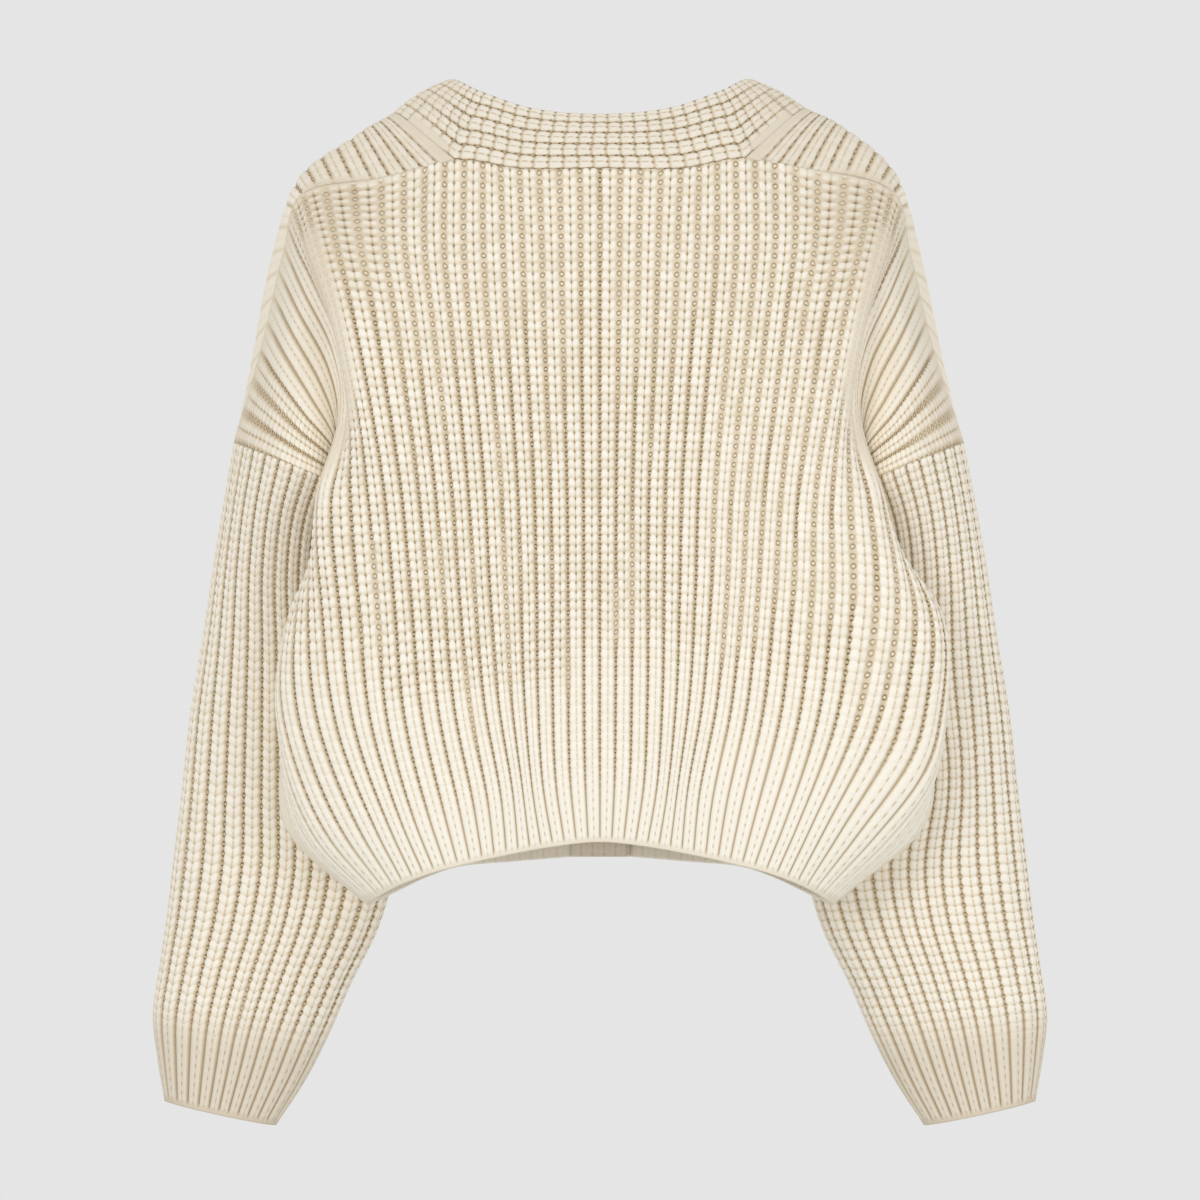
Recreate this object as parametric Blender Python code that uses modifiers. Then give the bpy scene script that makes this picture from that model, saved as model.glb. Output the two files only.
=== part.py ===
"""A cropped, chunky cardigan in fisherman's rib, standing filled out as it is worn, with no wearer.

The wearer's front faces -Y, +Z is up and +X is the wearer's left. The origin is the middle of the neck
opening, level with the seam of the collar at the back. Sizes in the tables are in millimetres.

The cloth is one surface that the seams divide. Each panel is read in knitting terms: a column is a rib,
counted outward, and a level is a distance down from the shoulder seam. Every row of a table is one
level of the panel, and its columns say where the named ribs are at that level.
"""

import math

import bmesh
import bpy
import numpy as np
from mathutils import Vector
from mathutils.bvhtree import BVHTree

MM = 0.001

# Driving sizes, in millimetres.
WALL = 5.0  # the knit is this thick
SEAM_DRAW = 0.26  # each edge is drawn back this far from its seam, so that the pieces stand clear
LAP_STEP = 3.3  # how far the upper front band rises and the lower one sinks
COLLAR_CROWN = 3.0  # how far the collar's width bows outward

# Ribs and levels that the tables name.
BACK_RIBS = (0, 4, 7.5, 11, 14, 17, 21, 25)  # from the centre back to the seam
NECK_RIB = 7.5  # where the collar ends on the back, and the shoulder seam starts
FOLD_RIB = 14  # runs down the fold between the back and the sleeve
EDGE_RIB = 25  # lies in the armhole seam, then in the side seam
UNDERARM = 34  # the level where the armhole ends and the side seam starts

# The shoulder seam and the back of the neck: rib, x, y, z.
TOP_EDGE = (
    (0, 0, 60, 0),
    (4, 52, 57, 0),
    (7.5, 94, 48, 6),
    (11, 142, 29, -5),
    (14, 193, 18, -15),
    (17, 205, 15, -52),
    (21, 219, 11, -112),
)

# The middle of the back: level, y, z, then x of ribs 4, 7.5 and 11.
BACK_MIDDLE = (
    (8, 78, -48, 50, 94, 139),
    (16, 92, -98, 48, 90, 131),
    (25, 100, -152, 45, 84, 123),
    (34, 104, -206, 42, 79, 116),
    (45, 107, -272, 40.5, 75, 110),
    (56, 108, -338, 39.5, 69, 103),
    (66, 104, -397, 36, 59, 90),
    (72, 98, -433, 30, 56, 83),
)

# The sides of the back: level, then x, y, z of the fold, of the crease beside it and of the cap.
BACK_SIDES = (
    (8, (182, 62, -50), (192, 50, -80), (208, 47, -130)),
    (16, (168, 78, -99), (173, 48, -118), (190, 54, -155)),
    (25, (156, 88, -156), (168, 46, -160), (171, 42, -180)),
    (34, (149, 94, -211), (182, 70, -213), (160, 26, -214)),
    (45, (143, 99, -280), (180, 82, -284), (199, 48, -284)),
    (56, (136, 101, -356), (170, 87, -361), (208, 52, -357)),
    (66, (119, 98, -419), (144, 89, -428), (180, 62, -434)),
    (72, (106, 92, -452.5), (127, 82, -460.5), (145, 56, -471)),
)

# The side seam, from the underarm to the hem: level, x, y, z.
SIDE_SEAM = (
    (34, 160, -2, -207),
    (45, 160, -10, -276),
    (56, 194, 5, -350),
    (62, 208, 14, -395),
    (67, 199, 24, -433),
    (72, 150, 26, -476),
)

# A front: level, then x, y, z of the edge that the band is sewn to, of the middle, and of the
# ribs that meet the fold, the crease and the cap.
FRONT = (
    (4, (132, -2, 38), (158, -5, 24), (199, -8, -9), (214, -10, -57), (227, -10, -125)),
    (9, (126, -44, 18), (150, -44, 2), (184, -42, -36), (202, -42, -76), (218, -44, -133)),
    (16, (104, -82, -48), (130, -76, -62), (165, -68, -90), (178, -62, -118), (196, -62, -156)),
    (25, (66, -106, -128), (104, -99, -136), (147, -78, -148), (158, -66, -162), (172, -56, -180)),
    (34, (24, -118, -205), (78, -112, -206), (128, -86, -206), (142, -64, -207), (153, -34, -208)),
    (45, (20, -121, -270), (70, -115, -270), (118, -92, -271), (134, -70, -273), (147, -42, -275)),
    (56, (20, -120, -335), (70, -113, -338), (120, -88, -344), (138, -64, -347), (160, -32, -350)),
    (66, (20, -116, -404), (66, -110, -407), (114, -86, -416), (134, -60, -422), (162, -22, -430)),
    (72, (20, -106, -448), (58, -101, -451), (94, -82, -454), (112, -60, -459.5), (132, -22, -468)),
)
FRONT_RIBS = (5, 9.5, 14, 17, 21, 25)  # the same columns, and the seam, as ribs
FRONT_TOP_RIBS = (7.5, 11, 14, 17, 21)  # where the first five start on the shoulder seam

# The free edge of the collar and of the band below it: place along the seam, then x, y, z. The
# place is a rib as far as the end of the collar seam, and then that rib plus the front's level.
FREE_EDGE = (
    (0, 0, 34, 37),
    (4, 44, 31, 41),
    (7.5, 76, 19, 52),
    (11.5, 97, -8, 61),
    (16.5, 88, -50, 38),
    (23.5, 64, -88, -26),
    (32.5, 26, -112, -108),
    (41.5, -14, -117, -188),
    (52.5, -18, -120, -270),
    (63.5, -18, -119, -335),
    (73.5, -18, -115, -404),
    (79.5, -18, -105, -448),
)

# The armhole seam is an ellipse round the upper arm: its centre, then the vectors to the outermost
# and to the rearmost point. The shoulder seam meets it a little behind the outermost point.
ARMHOLE_CENTRE = (199, -1, -191.5)
ARMHOLE_OUT = (39, 0, 15.5)
ARMHOLE_BACK = (0, 62, 0)
ARMHOLE_START = math.radians(8)

# A sleeve, from the armhole to the cuff: x, z of its outer side, x, z of its inner side, then its
# middle and its half depth in y.
SLEEVE = (
    (245, -212, 170, -234, -18, 53),
    (252, -250, 171, -268, -36, 49),
    (261, -305, 160, -318, -53, 48),
    (269, -352, 150, -365, -62, 48),
    (275, -404, 143, -414, -68, 48),
    (281, -452, 137, -460, -71, 47),
    (285, -486, 146, -494, -72, 46),
    (290, -520, 164, -531, -72, 44),
    (294, -551, 178, -563, -71, 40),
    (291, -578, 194, -594, -69, 36),
    (286, -607, 213, -623, -67, 32),
)

# The back is fuller on the wearer's right: how far, at which height and over what reach, and the
# share of it that each rib takes.
FULLER_BY, FULLER_BACK, FULLER_Z, FULLER_REACH = 23, 7, -308, 55
FULLER_SHARE = {11: 0.1, 14: 0.3, 17: 0.65, 21: 1.0}

# The wearer's right, where the garment has settled unevenly: x and z of the middle of the place, its
# reach in x and in z, and how far its cloth has moved in x and in z.
SETTLED = (
    (-235, -55, 65, 110, 5, 0),
    (-152, 12, 42, 34, 0, 6.5),
    (-205, -392, 32, 50, -9, 0),
)

# Buttons on the upper band.
BUTTON_HEIGHTS = (-228, -291, -354, -417)
BUTTON_RADIUS, BUTTON_THICK, BUTTON_LIFT = 11.0, 4.2, 0.5
BUTTON_HOLE_RADIUS, BUTTON_HOLE_OUT = 1.1, 2.6

# Where the facets lie.
MESH_RIBS = (0, 2.5, 5, 7.5, 9.5, 11.5, 13, 14.5, 16, 17.5, 19, 20.5, 22, 23.5, 25)
MESH_FRONT_RIBS = (5, 7.6, 10.3, 12.6, 14.5, 16, 17.5, 19, 20.5, 22, 23.5, 25)
MESH_LEVELS = (0, 3, 6, 9, 12, 15, 18, 21, 24.5, 28, 31, 34, 38, 42, 46, 50, 54, 58, 62, 66, 69, 72)
COLLAR_END = 3  # the level on a front where the collar is joined to the band
BAND_STRIPS = 4  # facets across the collar and the bands
SLEEVE_RINGS = 17


def smooth_curve(knots, values, places):
    """Reads a smooth curve through the values at uneven knots."""
    knots, values = np.asarray(knots, float), np.asarray(values, float)
    places = np.asarray(places, float)
    shape = values.shape[1:]
    values = values.reshape(len(knots), -1)
    step = np.diff(knots)[:, None]
    slope = np.diff(values, axis=0) / step
    tangent = np.empty_like(values)
    tangent[1:-1] = (slope[:-1] * step[1:] + slope[1:] * step[:-1]) / (step[1:] + step[:-1])
    tangent[0], tangent[-1] = slope[0], slope[-1]
    first = np.clip(np.searchsorted(knots, places, side="right") - 1, 0, len(step) - 1)
    long = step[first]
    t = (places[:, None] - knots[first][:, None]) / long
    found = (
        (2 * t**3 - 3 * t**2 + 1) * values[first]
        + (t**3 - 2 * t**2 + t) * long * tangent[first]
        + (3 * t**2 - 2 * t**3) * values[first + 1]
        + (t**3 - t**2) * long * tangent[first + 1]
    )
    return found.reshape(len(places), *shape)


def smooth_step(value, low, high):
    """Goes from 0 to 1 without a corner as the value goes from low to high."""
    t = np.clip((np.asarray(value, float) - low) / (high - low), 0, 1)
    return t * t * (3 - 2 * t)


def unit(vectors):
    return vectors / np.maximum(np.linalg.norm(vectors, axis=-1, keepdims=True), 1e-9)


def armhole(levels, side):
    """Points of the armhole seam, on its back half where side is 1 and on its front half where it is -1."""
    share = np.asarray(levels, float) / UNDERARM
    angle = ARMHOLE_START + share * (side * math.pi - ARMHOLE_START)
    return (
        np.asarray(ARMHOLE_CENTRE)
        + np.cos(angle)[:, None] * np.asarray(ARMHOLE_OUT)
        + np.sin(angle)[:, None] * np.asarray(ARMHOLE_BACK)
    )


def edge_seam(levels, side):
    """Points of the armhole seam and, below the underarm, of the side seam."""
    levels = np.asarray(levels, float)
    table = np.asarray(SIDE_SEAM, float)
    down = smooth_curve(table[:, 0], table[:, 1:], np.maximum(levels, UNDERARM))
    return np.where(levels[:, None] < UNDERARM, armhole(levels, side), down)


def fuller(points, ribs):
    """Moves the points of the wearer's right outward and back, where the back is fuller."""
    share = np.interp(ribs, [0, *FULLER_SHARE, EDGE_RIB], [0, *FULLER_SHARE.values(), 0])
    bump = np.exp(-(((points[..., 2] - FULLER_Z) / FULLER_REACH) ** 2))
    points[..., 0] += FULLER_BY * bump * share
    points[..., 1] += FULLER_BACK * bump * share
    return points


def settled(points):
    """Moves the cloth of the wearer's right, where it has settled unevenly."""
    moved = points.copy()
    for x, z, wide, tall, move_x, move_z in SETTLED:
        bump = np.exp(-(((points[..., 0] - x) / wide) ** 2) - ((points[..., 2] - z) / tall) ** 2)
        moved[..., 0] += move_x * bump
        moved[..., 2] += move_z * bump
    return moved


def back_half_net(right):
    """Levels by ribs by x, y, z: the named points of half of the back, seam aside."""
    sides = {row[0]: row[1:] for row in BACK_SIDES}
    net = []
    for level, y, z, *middle in BACK_MIDDLE:
        fold = sides[level][0]
        line = []
        for rib, x in zip(BACK_RIBS, (0, *middle)):
            out = rib / FOLD_RIB
            line.append((x, y + (fold[1] - y) * out**2, z + (fold[2] - z) * out**1.5))
        net.append([*line, *sides[level]])
    net = np.array(net, float)
    if right:
        net = fuller(net, BACK_RIBS[:-1])
    top = np.array([row[1:] for row in TOP_EDGE], float)
    return np.concatenate([top[None], net])


def back_points(ribs, levels):
    """The back's outer surface at these ribs, negative on the wearer's right, and levels."""
    knots = (0, *[row[0] for row in BACK_MIDDLE])
    halves = []
    for right in (False, True):
        lines = smooth_curve(knots, back_half_net(right), levels)
        halves.append(np.concatenate([lines, edge_seam(levels, 1)[:, None]], axis=1))
    left, right = halves
    right = right[:, ::-1] * (-1, 1, 1)
    whole = np.concatenate([right, left[:, 1:]], axis=1)
    stations = [-rib for rib in reversed(BACK_RIBS)] + list(BACK_RIBS[1:])
    return smooth_curve(stations, whole.transpose(1, 0, 2), ribs).transpose(1, 0, 2)


def front_points(ribs, levels):
    """The left front's outer surface."""
    top = smooth_curve([r[0] for r in TOP_EDGE], [r[1:] for r in TOP_EDGE], FRONT_TOP_RIBS)
    net = np.array([top, *[row[1:] for row in FRONT]], float)
    lines = smooth_curve((0, *[row[0] for row in FRONT]), net, levels)
    lines = np.concatenate([lines, edge_seam(levels, -1)[:, None]], axis=1)
    return smooth_curve(FRONT_RIBS, lines.transpose(1, 0, 2), ribs).transpose(1, 0, 2)


def free_edge(places):
    """Points of the free edge of the collar and the left band."""
    table = np.asarray(FREE_EDGE, float)
    mirrored = table[1:4][::-1] * (-1, -1, 1, 1)
    table = np.concatenate([mirrored, table])
    return smooth_curve(table[:, 0], table[:, 1:], places)


def lapped(points, levels, share, way):
    """Moves the cloth near the front edges out (way 1) or in (way -1), so that one band laps the other."""
    lift = LAP_STEP * way * smooth_step(levels, 10, 24)[:, None] * share
    moved = points.copy()
    moved[..., 1] -= lift
    return moved


def strip_points(seam, free, crown):
    """A strip from the seam to the free edge, bowed outward across its width by the crown."""
    across = free - seam
    along = np.gradient(seam, axis=0)
    out = unit(np.cross(across, along))
    share = np.linspace(0, 1, BAND_STRIPS + 1)[None, :, None]
    bow = 4 * share * (1 - share) * crown[:, None, None]
    return seam[:, None] + across[:, None] * share + bow * out[:, None]


def sleeve_points(levels):
    """Rings of the left sleeve. A ring runs from the shoulder down its back and up its front."""
    start = np.concatenate([armhole(levels, 1), armhole(levels, -1)[-2:0:-1]])
    angles = np.concatenate(
        [
            ARMHOLE_START + np.asarray(levels) / UNDERARM * (math.pi - ARMHOLE_START),
            (ARMHOLE_START - np.asarray(levels) / UNDERARM * (math.pi + ARMHOLE_START))[-2:0:-1],
        ]
    )
    rings = [start]
    for outer_x, outer_z, inner_x, inner_z, middle, deep in SLEEVE:
        outer, inner = np.array([outer_x, middle, outer_z]), np.array([inner_x, middle, inner_z])
        cos, sin = np.cos(angles)[:, None], np.sin(angles)[:, None]
        rings.append((outer + inner) / 2 + cos * (outer - inner) / 2 + sin * np.array([0, deep, 0]))
    rings = np.array(rings)
    middles = rings.mean(axis=1)
    down = np.concatenate([[0], np.cumsum(np.linalg.norm(np.diff(middles, axis=0), axis=1))])
    return smooth_curve(down, rings, np.linspace(0, down[-1], SLEEVE_RINGS))


def mirrored(points):
    """The same points on the wearer's right, still turned outward."""
    return points[:, ::-1] * (-1, 1, 1)


def whole_cloth():
    """Outer points of every cloth piece, as a grid of rows and columns, and whether its rows close."""
    levels = np.array(MESH_LEVELS, float)
    ribs = [-rib for rib in MESH_RIBS[:0:-1]] + list(MESH_RIBS)
    back = back_points(ribs, levels)
    shoulder = back[0, ribs.index(NECK_RIB) :]

    front = front_points(MESH_FRONT_RIBS, levels)
    front[0] = shoulder
    near = (1 - smooth_step(MESH_FRONT_RIBS, 5, 9))[None, :]
    front_left = lapped(front, levels, near, -1)
    front_right = mirrored(lapped(front, levels, near, 1))

    neck_ribs = [rib for rib in ribs if abs(rib) <= NECK_RIB]
    neck = back[0, [ribs.index(rib) for rib in neck_ribs]]
    free = free_edge(NECK_RIB + levels[1:])[:, None]
    free_left = lapped(free, levels[1:], 1, -1)[:, 0]
    free_right = lapped(free, levels[1:], 1, 1)[::-1, 0] * (-1, 1, 1)
    free_back = free_edge(np.abs(neck_ribs))
    free_back[:, 0] *= np.sign(neck_ribs)
    strip = strip_points(
        np.concatenate([front_right[:0:-1, -1], neck, front_left[1:, 0]]),
        np.concatenate([free_right, free_back, free_left]),
        COLLAR_CROWN * (1 - smooth_step(np.concatenate([levels[:0:-1], 0 * neck[:, 0], levels[1:]]), 9, 21)),
    )
    joins = MESH_LEVELS.index(COLLAR_END)
    first, last = len(levels) - 1 - joins, len(strip) - len(levels) + joins

    arm_levels = [level for level in MESH_LEVELS if level <= UNDERARM]
    sleeve = sleeve_points(arm_levels)
    grids = {
        "back": (back, False),
        "front_left": (front_left[:, ::-1], False),
        "front_right": (front_right[:, ::-1], False),
        "sleeve_left": (sleeve[:, ::-1], True),
        "sleeve_right": (sleeve * (-1, 1, 1), True),
        "collar": (strip[first : last + 1], False),
        "band_left": (strip[last:], False),
        "band_right": (strip[: first + 1], False),
    }
    return {name: (settled(grid), closes) for name, (grid, closes) in grids.items()}


def corner_normals(grid, closes):
    """For every point of a grid, the sum of its faces' normals, longer where the faces are larger."""
    ring = np.concatenate([grid, grid[:, :1]], axis=1) if closes else grid
    faces = np.cross(ring[1:, 1:] - ring[:-1, :-1], ring[1:, :-1] - ring[:-1, 1:])
    sums = np.zeros_like(ring)
    for rows in (slice(0, -1), slice(1, None)):
        for columns in (slice(0, -1), slice(1, None)):
            sums[rows, columns] += faces
    if closes:
        sums[:, 0] += sums[:, -1]
        sums = sums[:, :-1]
    return sums


def same_place(point):
    """A key that points of two pieces share where they meet."""
    return tuple(np.round(point + 0.00137, 2) + 0.0)


def shared_normals(cloth):
    """Outward directions on which the pieces agree along their seams, so that their walls meet squarely."""
    together = {}
    sums = {name: corner_normals(*piece) for name, piece in cloth.items()}
    for name, (grid, _) in cloth.items():
        for place, normal in zip(grid.reshape(-1, 3), sums[name].reshape(-1, 3)):
            key = same_place(place)
            together[key] = together.get(key, 0) + normal
    return {
        name: unit(np.array([together[same_place(p)] for p in grid.reshape(-1, 3)])).reshape(grid.shape)
        for name, (grid, _) in cloth.items()
    }


def retreat(edge, inside):
    """Steps from an edge into its piece, square to the edge, that draw it clear of its seam."""
    along = unit(np.gradient(edge, axis=0))
    inward = inside - edge
    inward = inward - (inward * along).sum(axis=1, keepdims=True) * along
    return SEAM_DRAW * unit(inward)


def trimmed(grid, closes):
    """Draws the edges of a piece back from its seams."""
    cut = grid.copy()
    cut[0] += retreat(grid[0], grid[1])
    cut[-1] += retreat(grid[-1], grid[-2])
    if not closes:
        cut[:, 0] += retreat(grid[:, 0], grid[:, 1])
        cut[:, -1] += retreat(grid[:, -1], grid[:, -2])
    return cut


def cloth_object(name, grid, closes, normals, material, collection):
    """A wall of knit: the outer surface, the inner one a wall's thickness behind it, and the cut edges."""
    outer_points = trimmed(grid, closes)
    inner_points = outer_points - WALL * normals
    rows, columns = grid.shape[:2]
    shape = bmesh.new()
    outer = [[shape.verts.new(Vector(p) * MM) for p in row] for row in outer_points]
    inner = [[shape.verts.new(Vector(p) * MM) for p in row] for row in inner_points]
    spans = [(c, (c + 1) % columns) for c in range(columns if closes else columns - 1)]
    for r in range(rows - 1):
        for a, b in spans:
            shape.faces.new((outer[r][a], outer[r][b], outer[r + 1][b], outer[r + 1][a]))
            shape.faces.new((inner[r][b], inner[r][a], inner[r + 1][a], inner[r + 1][b]))
    edges = [((0, a), (0, b)) for a, b in spans]
    edges += [((rows - 1, b), (rows - 1, a)) for a, b in spans]
    if not closes:
        edges += [((r, columns - 1), (r + 1, columns - 1)) for r in range(rows - 1)]
        edges += [((r + 1, 0), (r, 0)) for r in range(rows - 1)]
    for (r0, c0), (r1, c1) in edges:
        shape.faces.new((outer[r1][c1], outer[r0][c0], inner[r0][c0], inner[r1][c1]))
    mesh = bpy.data.meshes.new(name)
    shape.to_mesh(mesh)
    shape.free()
    mesh.materials.append(material)
    mesh.shade_smooth()
    mesh.set_sharp_from_angle(angle=math.radians(50))
    piece = bpy.data.objects.new(name, mesh)
    collection.objects.link(piece)
    return piece


def material(name, colour, roughness):
    """A plain finish with this colour and roughness."""
    made = bpy.data.materials.new(name)
    made.use_nodes = True
    shader = made.node_tree.nodes["Principled BSDF"]
    shader.inputs["Base Color"].default_value = (*colour, 1)
    shader.inputs["Roughness"].default_value = roughness
    shader.inputs["Metallic"].default_value = 0
    return made


def button_mesh(collection, finish):
    """A round, dished button with four holes, its back on the plane z = 0."""
    rim, thick = BUTTON_RADIUS * MM, BUTTON_THICK * MM
    profile = (
        (0, 0.76), (0.66, 0.76), (0.76, 0.95), (0.88, 1.0), (1.0, 0.66), (0.95, 0.15), (0.82, 0), (0, 0),
    )
    line = bpy.data.meshes.new("button_profile")
    points = [(r * rim, 0, z * thick) for r, z in profile]
    line.from_pydata(points, [(i, i + 1) for i in range(len(points) - 1)], [])
    blank = bpy.data.objects.new("button_blank", line)
    collection.objects.link(blank)
    turn = blank.modifiers.new("turn", "SCREW")
    turn.steps = turn.render_steps = 24
    turn.use_merge_vertices = True
    turn.merge_threshold = 1e-5
    for i in range(4):
        angle = math.radians(45 + 90 * i)
        out = BUTTON_HOLE_OUT * MM
        bpy.ops.mesh.primitive_cylinder_add(
            vertices=10,
            radius=BUTTON_HOLE_RADIUS * MM,
            depth=3 * thick,
            location=(out * math.cos(angle), out * math.sin(angle), thick / 2),
        )
        drill = bpy.context.object
        drill.name = f"button_drill_{i + 1}"
        drill.hide_render = True
        drill.display_type = "WIRE"
        cut = blank.modifiers.new(f"hole_{i + 1}", "BOOLEAN")
        cut.object = drill
        cut.operation = "DIFFERENCE"
    mesh = bpy.data.meshes.new_from_object(blank.evaluated_get(bpy.context.evaluated_depsgraph_get()))
    mesh.name = "button"
    mesh.materials.clear()
    mesh.materials.append(finish)
    mesh.shade_smooth()
    mesh.set_sharp_from_angle(angle=math.radians(40))
    for drill in [o for o in bpy.data.objects if o.name.startswith("button_drill")]:
        bpy.data.objects.remove(drill, do_unlink=True)
    bpy.data.objects.remove(blank, do_unlink=True)
    return mesh


def sew_buttons(band, collection, finish):
    """Buttons down the middle of the upper band, each seated flat on the knit."""
    mesh = button_mesh(collection, finish)
    surface = BVHTree.FromPolygons(
        [v.co for v in band.data.vertices], [tuple(p.vertices) for p in band.data.polygons]
    )
    for number, height in enumerate(BUTTON_HEIGHTS, 1):
        place, normal, _, _ = surface.ray_cast(Vector((0, -1, height * MM)), Vector((0, 1, 0)))
        button = bpy.data.objects.new(f"button_{number}", mesh)
        button.location = place + normal * BUTTON_LIFT * MM
        button.rotation_mode = "QUATERNION"
        button.rotation_quaternion = normal.to_track_quat("Z", "Y")
        collection.objects.link(button)


def main():
    for old in list(bpy.data.objects):
        bpy.data.objects.remove(old, do_unlink=True)
    collection = bpy.data.collections.new("cardigan")
    bpy.context.scene.collection.children.link(collection)
    knit = material("ribbed_wool_knit", (0.80, 0.74, 0.62), 0.9)
    horn = material("button_polyester", (0.62, 0.52, 0.40), 0.35)
    cloth = whole_cloth()
    normals = shared_normals(cloth)
    pieces = {
        name: cloth_object(name, grid, closes, normals[name], knit, collection)
        for name, (grid, closes) in cloth.items()
    }
    sew_buttons(pieces["band_right"], collection, horn)


main()
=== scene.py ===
"""A cropped cardigan in chunky cream fisherman's rib, filled out as it is worn, seen from behind.

The frame is in metres: the wearer's front faces -Y, +Z is up and +X is the wearer's left. Sizes in the
tables are in millimetres, and the tables are those of the solids, so that each knitted piece follows
its solid. The knit itself is made here: a rib is one unit of u across a panel and a row of stitches is
one unit of v down it. A furrow lies where u is a whole number, and a rib shows two columns of stitches.
"""

import math

import bmesh
import bpy
import numpy as np
from mathutils import Matrix, Vector


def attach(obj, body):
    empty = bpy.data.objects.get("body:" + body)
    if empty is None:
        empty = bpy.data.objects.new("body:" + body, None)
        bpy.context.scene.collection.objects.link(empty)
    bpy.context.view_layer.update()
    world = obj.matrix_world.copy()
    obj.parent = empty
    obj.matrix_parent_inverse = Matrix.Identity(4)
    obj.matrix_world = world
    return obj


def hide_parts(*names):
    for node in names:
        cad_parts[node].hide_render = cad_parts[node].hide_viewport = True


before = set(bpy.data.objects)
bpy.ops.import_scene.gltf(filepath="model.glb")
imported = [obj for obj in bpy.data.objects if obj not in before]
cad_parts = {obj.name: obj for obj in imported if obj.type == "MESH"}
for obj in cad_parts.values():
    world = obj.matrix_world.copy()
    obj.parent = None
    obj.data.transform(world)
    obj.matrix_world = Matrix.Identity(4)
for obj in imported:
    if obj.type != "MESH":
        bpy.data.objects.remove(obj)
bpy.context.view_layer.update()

MM = 0.001
WALL = 4.6  # from the knit's surface to its inner side
LAP_STEP = 3.3  # how far the upper front band rises and the lower one sinks
COLLAR_CROWN = 3.0  # how far the collar's width bows outward
COLLAR_END = 3  # the level on a front where the collar is joined to the band

# Ribs and levels that the tables name.
BACK_RIBS = (0, 4, 7.5, 11, 14, 17, 21, 25)  # from the centre back to the seam
NECK_RIB = 7.5  # where the collar ends on the back, and the shoulder seam starts
FOLD_RIB = 14  # runs down the fold between the back and the sleeve
EDGE_RIB = 25  # lies in the armhole seam, then in the side seam
UNDERARM = 34  # the level where the armhole ends and the side seam starts
HEM = 72  # the level of the lower edge

# The shoulder seam and the back of the neck: rib, x, y, z.
TOP_EDGE = (
    (0, 0, 60, 0),
    (4, 52, 57, 0),
    (7.5, 94, 48, 6),
    (11, 142, 29, -5),
    (14, 193, 18, -15),
    (17, 205, 15, -52),
    (21, 219, 11, -112),
)

# The middle of the back: level, y, z, then x of ribs 4, 7.5 and 11.
BACK_MIDDLE = (
    (8, 78, -48, 50, 94, 139),
    (16, 92, -98, 48, 90, 131),
    (25, 100, -152, 45, 84, 123),
    (34, 104, -206, 42, 79, 116),
    (45, 107, -272, 40.5, 75, 110),
    (56, 108, -338, 39.5, 69, 103),
    (66, 104, -397, 36, 59, 90),
    (72, 98, -433, 30, 56, 83),
)

# The sides of the back: level, then x, y, z of the fold, of the crease beside it and of the cap.
BACK_SIDES = (
    (8, (182, 62, -50), (192, 50, -80), (208, 47, -130)),
    (16, (168, 78, -99), (173, 48, -118), (190, 54, -155)),
    (25, (156, 88, -156), (168, 46, -160), (171, 42, -180)),
    (34, (149, 94, -211), (182, 70, -213), (160, 26, -214)),
    (45, (143, 99, -280), (180, 82, -284), (199, 48, -284)),
    (56, (136, 101, -356), (170, 87, -361), (208, 52, -357)),
    (66, (119, 98, -419), (144, 89, -428), (180, 62, -434)),
    (72, (106, 92, -452.5), (127, 82, -460.5), (145, 56, -471)),
)

# The side seam, from the underarm to the hem: level, x, y, z.
SIDE_SEAM = (
    (34, 160, -2, -207),
    (45, 160, -10, -276),
    (56, 194, 5, -350),
    (62, 208, 14, -395),
    (67, 199, 24, -433),
    (72, 150, 26, -476),
)

# A front: level, then x, y, z of the edge that the band is sewn to, of the middle, and of the
# ribs that meet the fold, the crease and the cap.
FRONT = (
    (4, (132, -2, 38), (158, -5, 24), (199, -8, -9), (214, -10, -57), (227, -10, -125)),
    (9, (126, -44, 18), (150, -44, 2), (184, -42, -36), (202, -42, -76), (218, -44, -133)),
    (16, (104, -82, -48), (130, -76, -62), (165, -68, -90), (178, -62, -118), (196, -62, -156)),
    (25, (66, -106, -128), (104, -99, -136), (147, -78, -148), (158, -66, -162), (172, -56, -180)),
    (34, (24, -118, -205), (78, -112, -206), (128, -86, -206), (142, -64, -207), (153, -34, -208)),
    (45, (20, -121, -270), (70, -115, -270), (118, -92, -271), (134, -70, -273), (147, -42, -275)),
    (56, (20, -120, -335), (70, -113, -338), (120, -88, -344), (138, -64, -347), (160, -32, -350)),
    (66, (20, -116, -404), (66, -110, -407), (114, -86, -416), (134, -60, -422), (162, -22, -430)),
    (72, (20, -106, -448), (58, -101, -451), (94, -82, -454), (112, -60, -459.5), (132, -22, -468)),
)
FRONT_RIBS = (5, 9.5, 14, 17, 21, 25)  # the same columns, and the seam, as ribs
FRONT_TOP_RIBS = (7.5, 11, 14, 17, 21)  # where the first five start on the shoulder seam

# The free edge of the collar and of the band below it: place along the seam, then x, y, z. The
# place is a rib as far as the end of the collar seam, and then that rib plus the front's level.
FREE_EDGE = (
    (0, 0, 34, 37),
    (4, 44, 31, 41),
    (7.5, 76, 19, 52),
    (11.5, 97, -8, 61),
    (16.5, 88, -50, 38),
    (23.5, 64, -88, -26),
    (32.5, 26, -112, -108),
    (41.5, -14, -117, -188),
    (52.5, -18, -120, -270),
    (63.5, -18, -119, -335),
    (73.5, -18, -115, -404),
    (79.5, -18, -105, -448),
)

# The armhole seam is an ellipse round the upper arm: its centre, then the vectors to the outermost
# and to the rearmost point. The shoulder seam meets it a little behind the outermost point.
ARMHOLE = (199, -1, -191.5), (39, 0, 15.5), (0, 62, 0)
ARMHOLE_START = math.radians(8)

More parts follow.
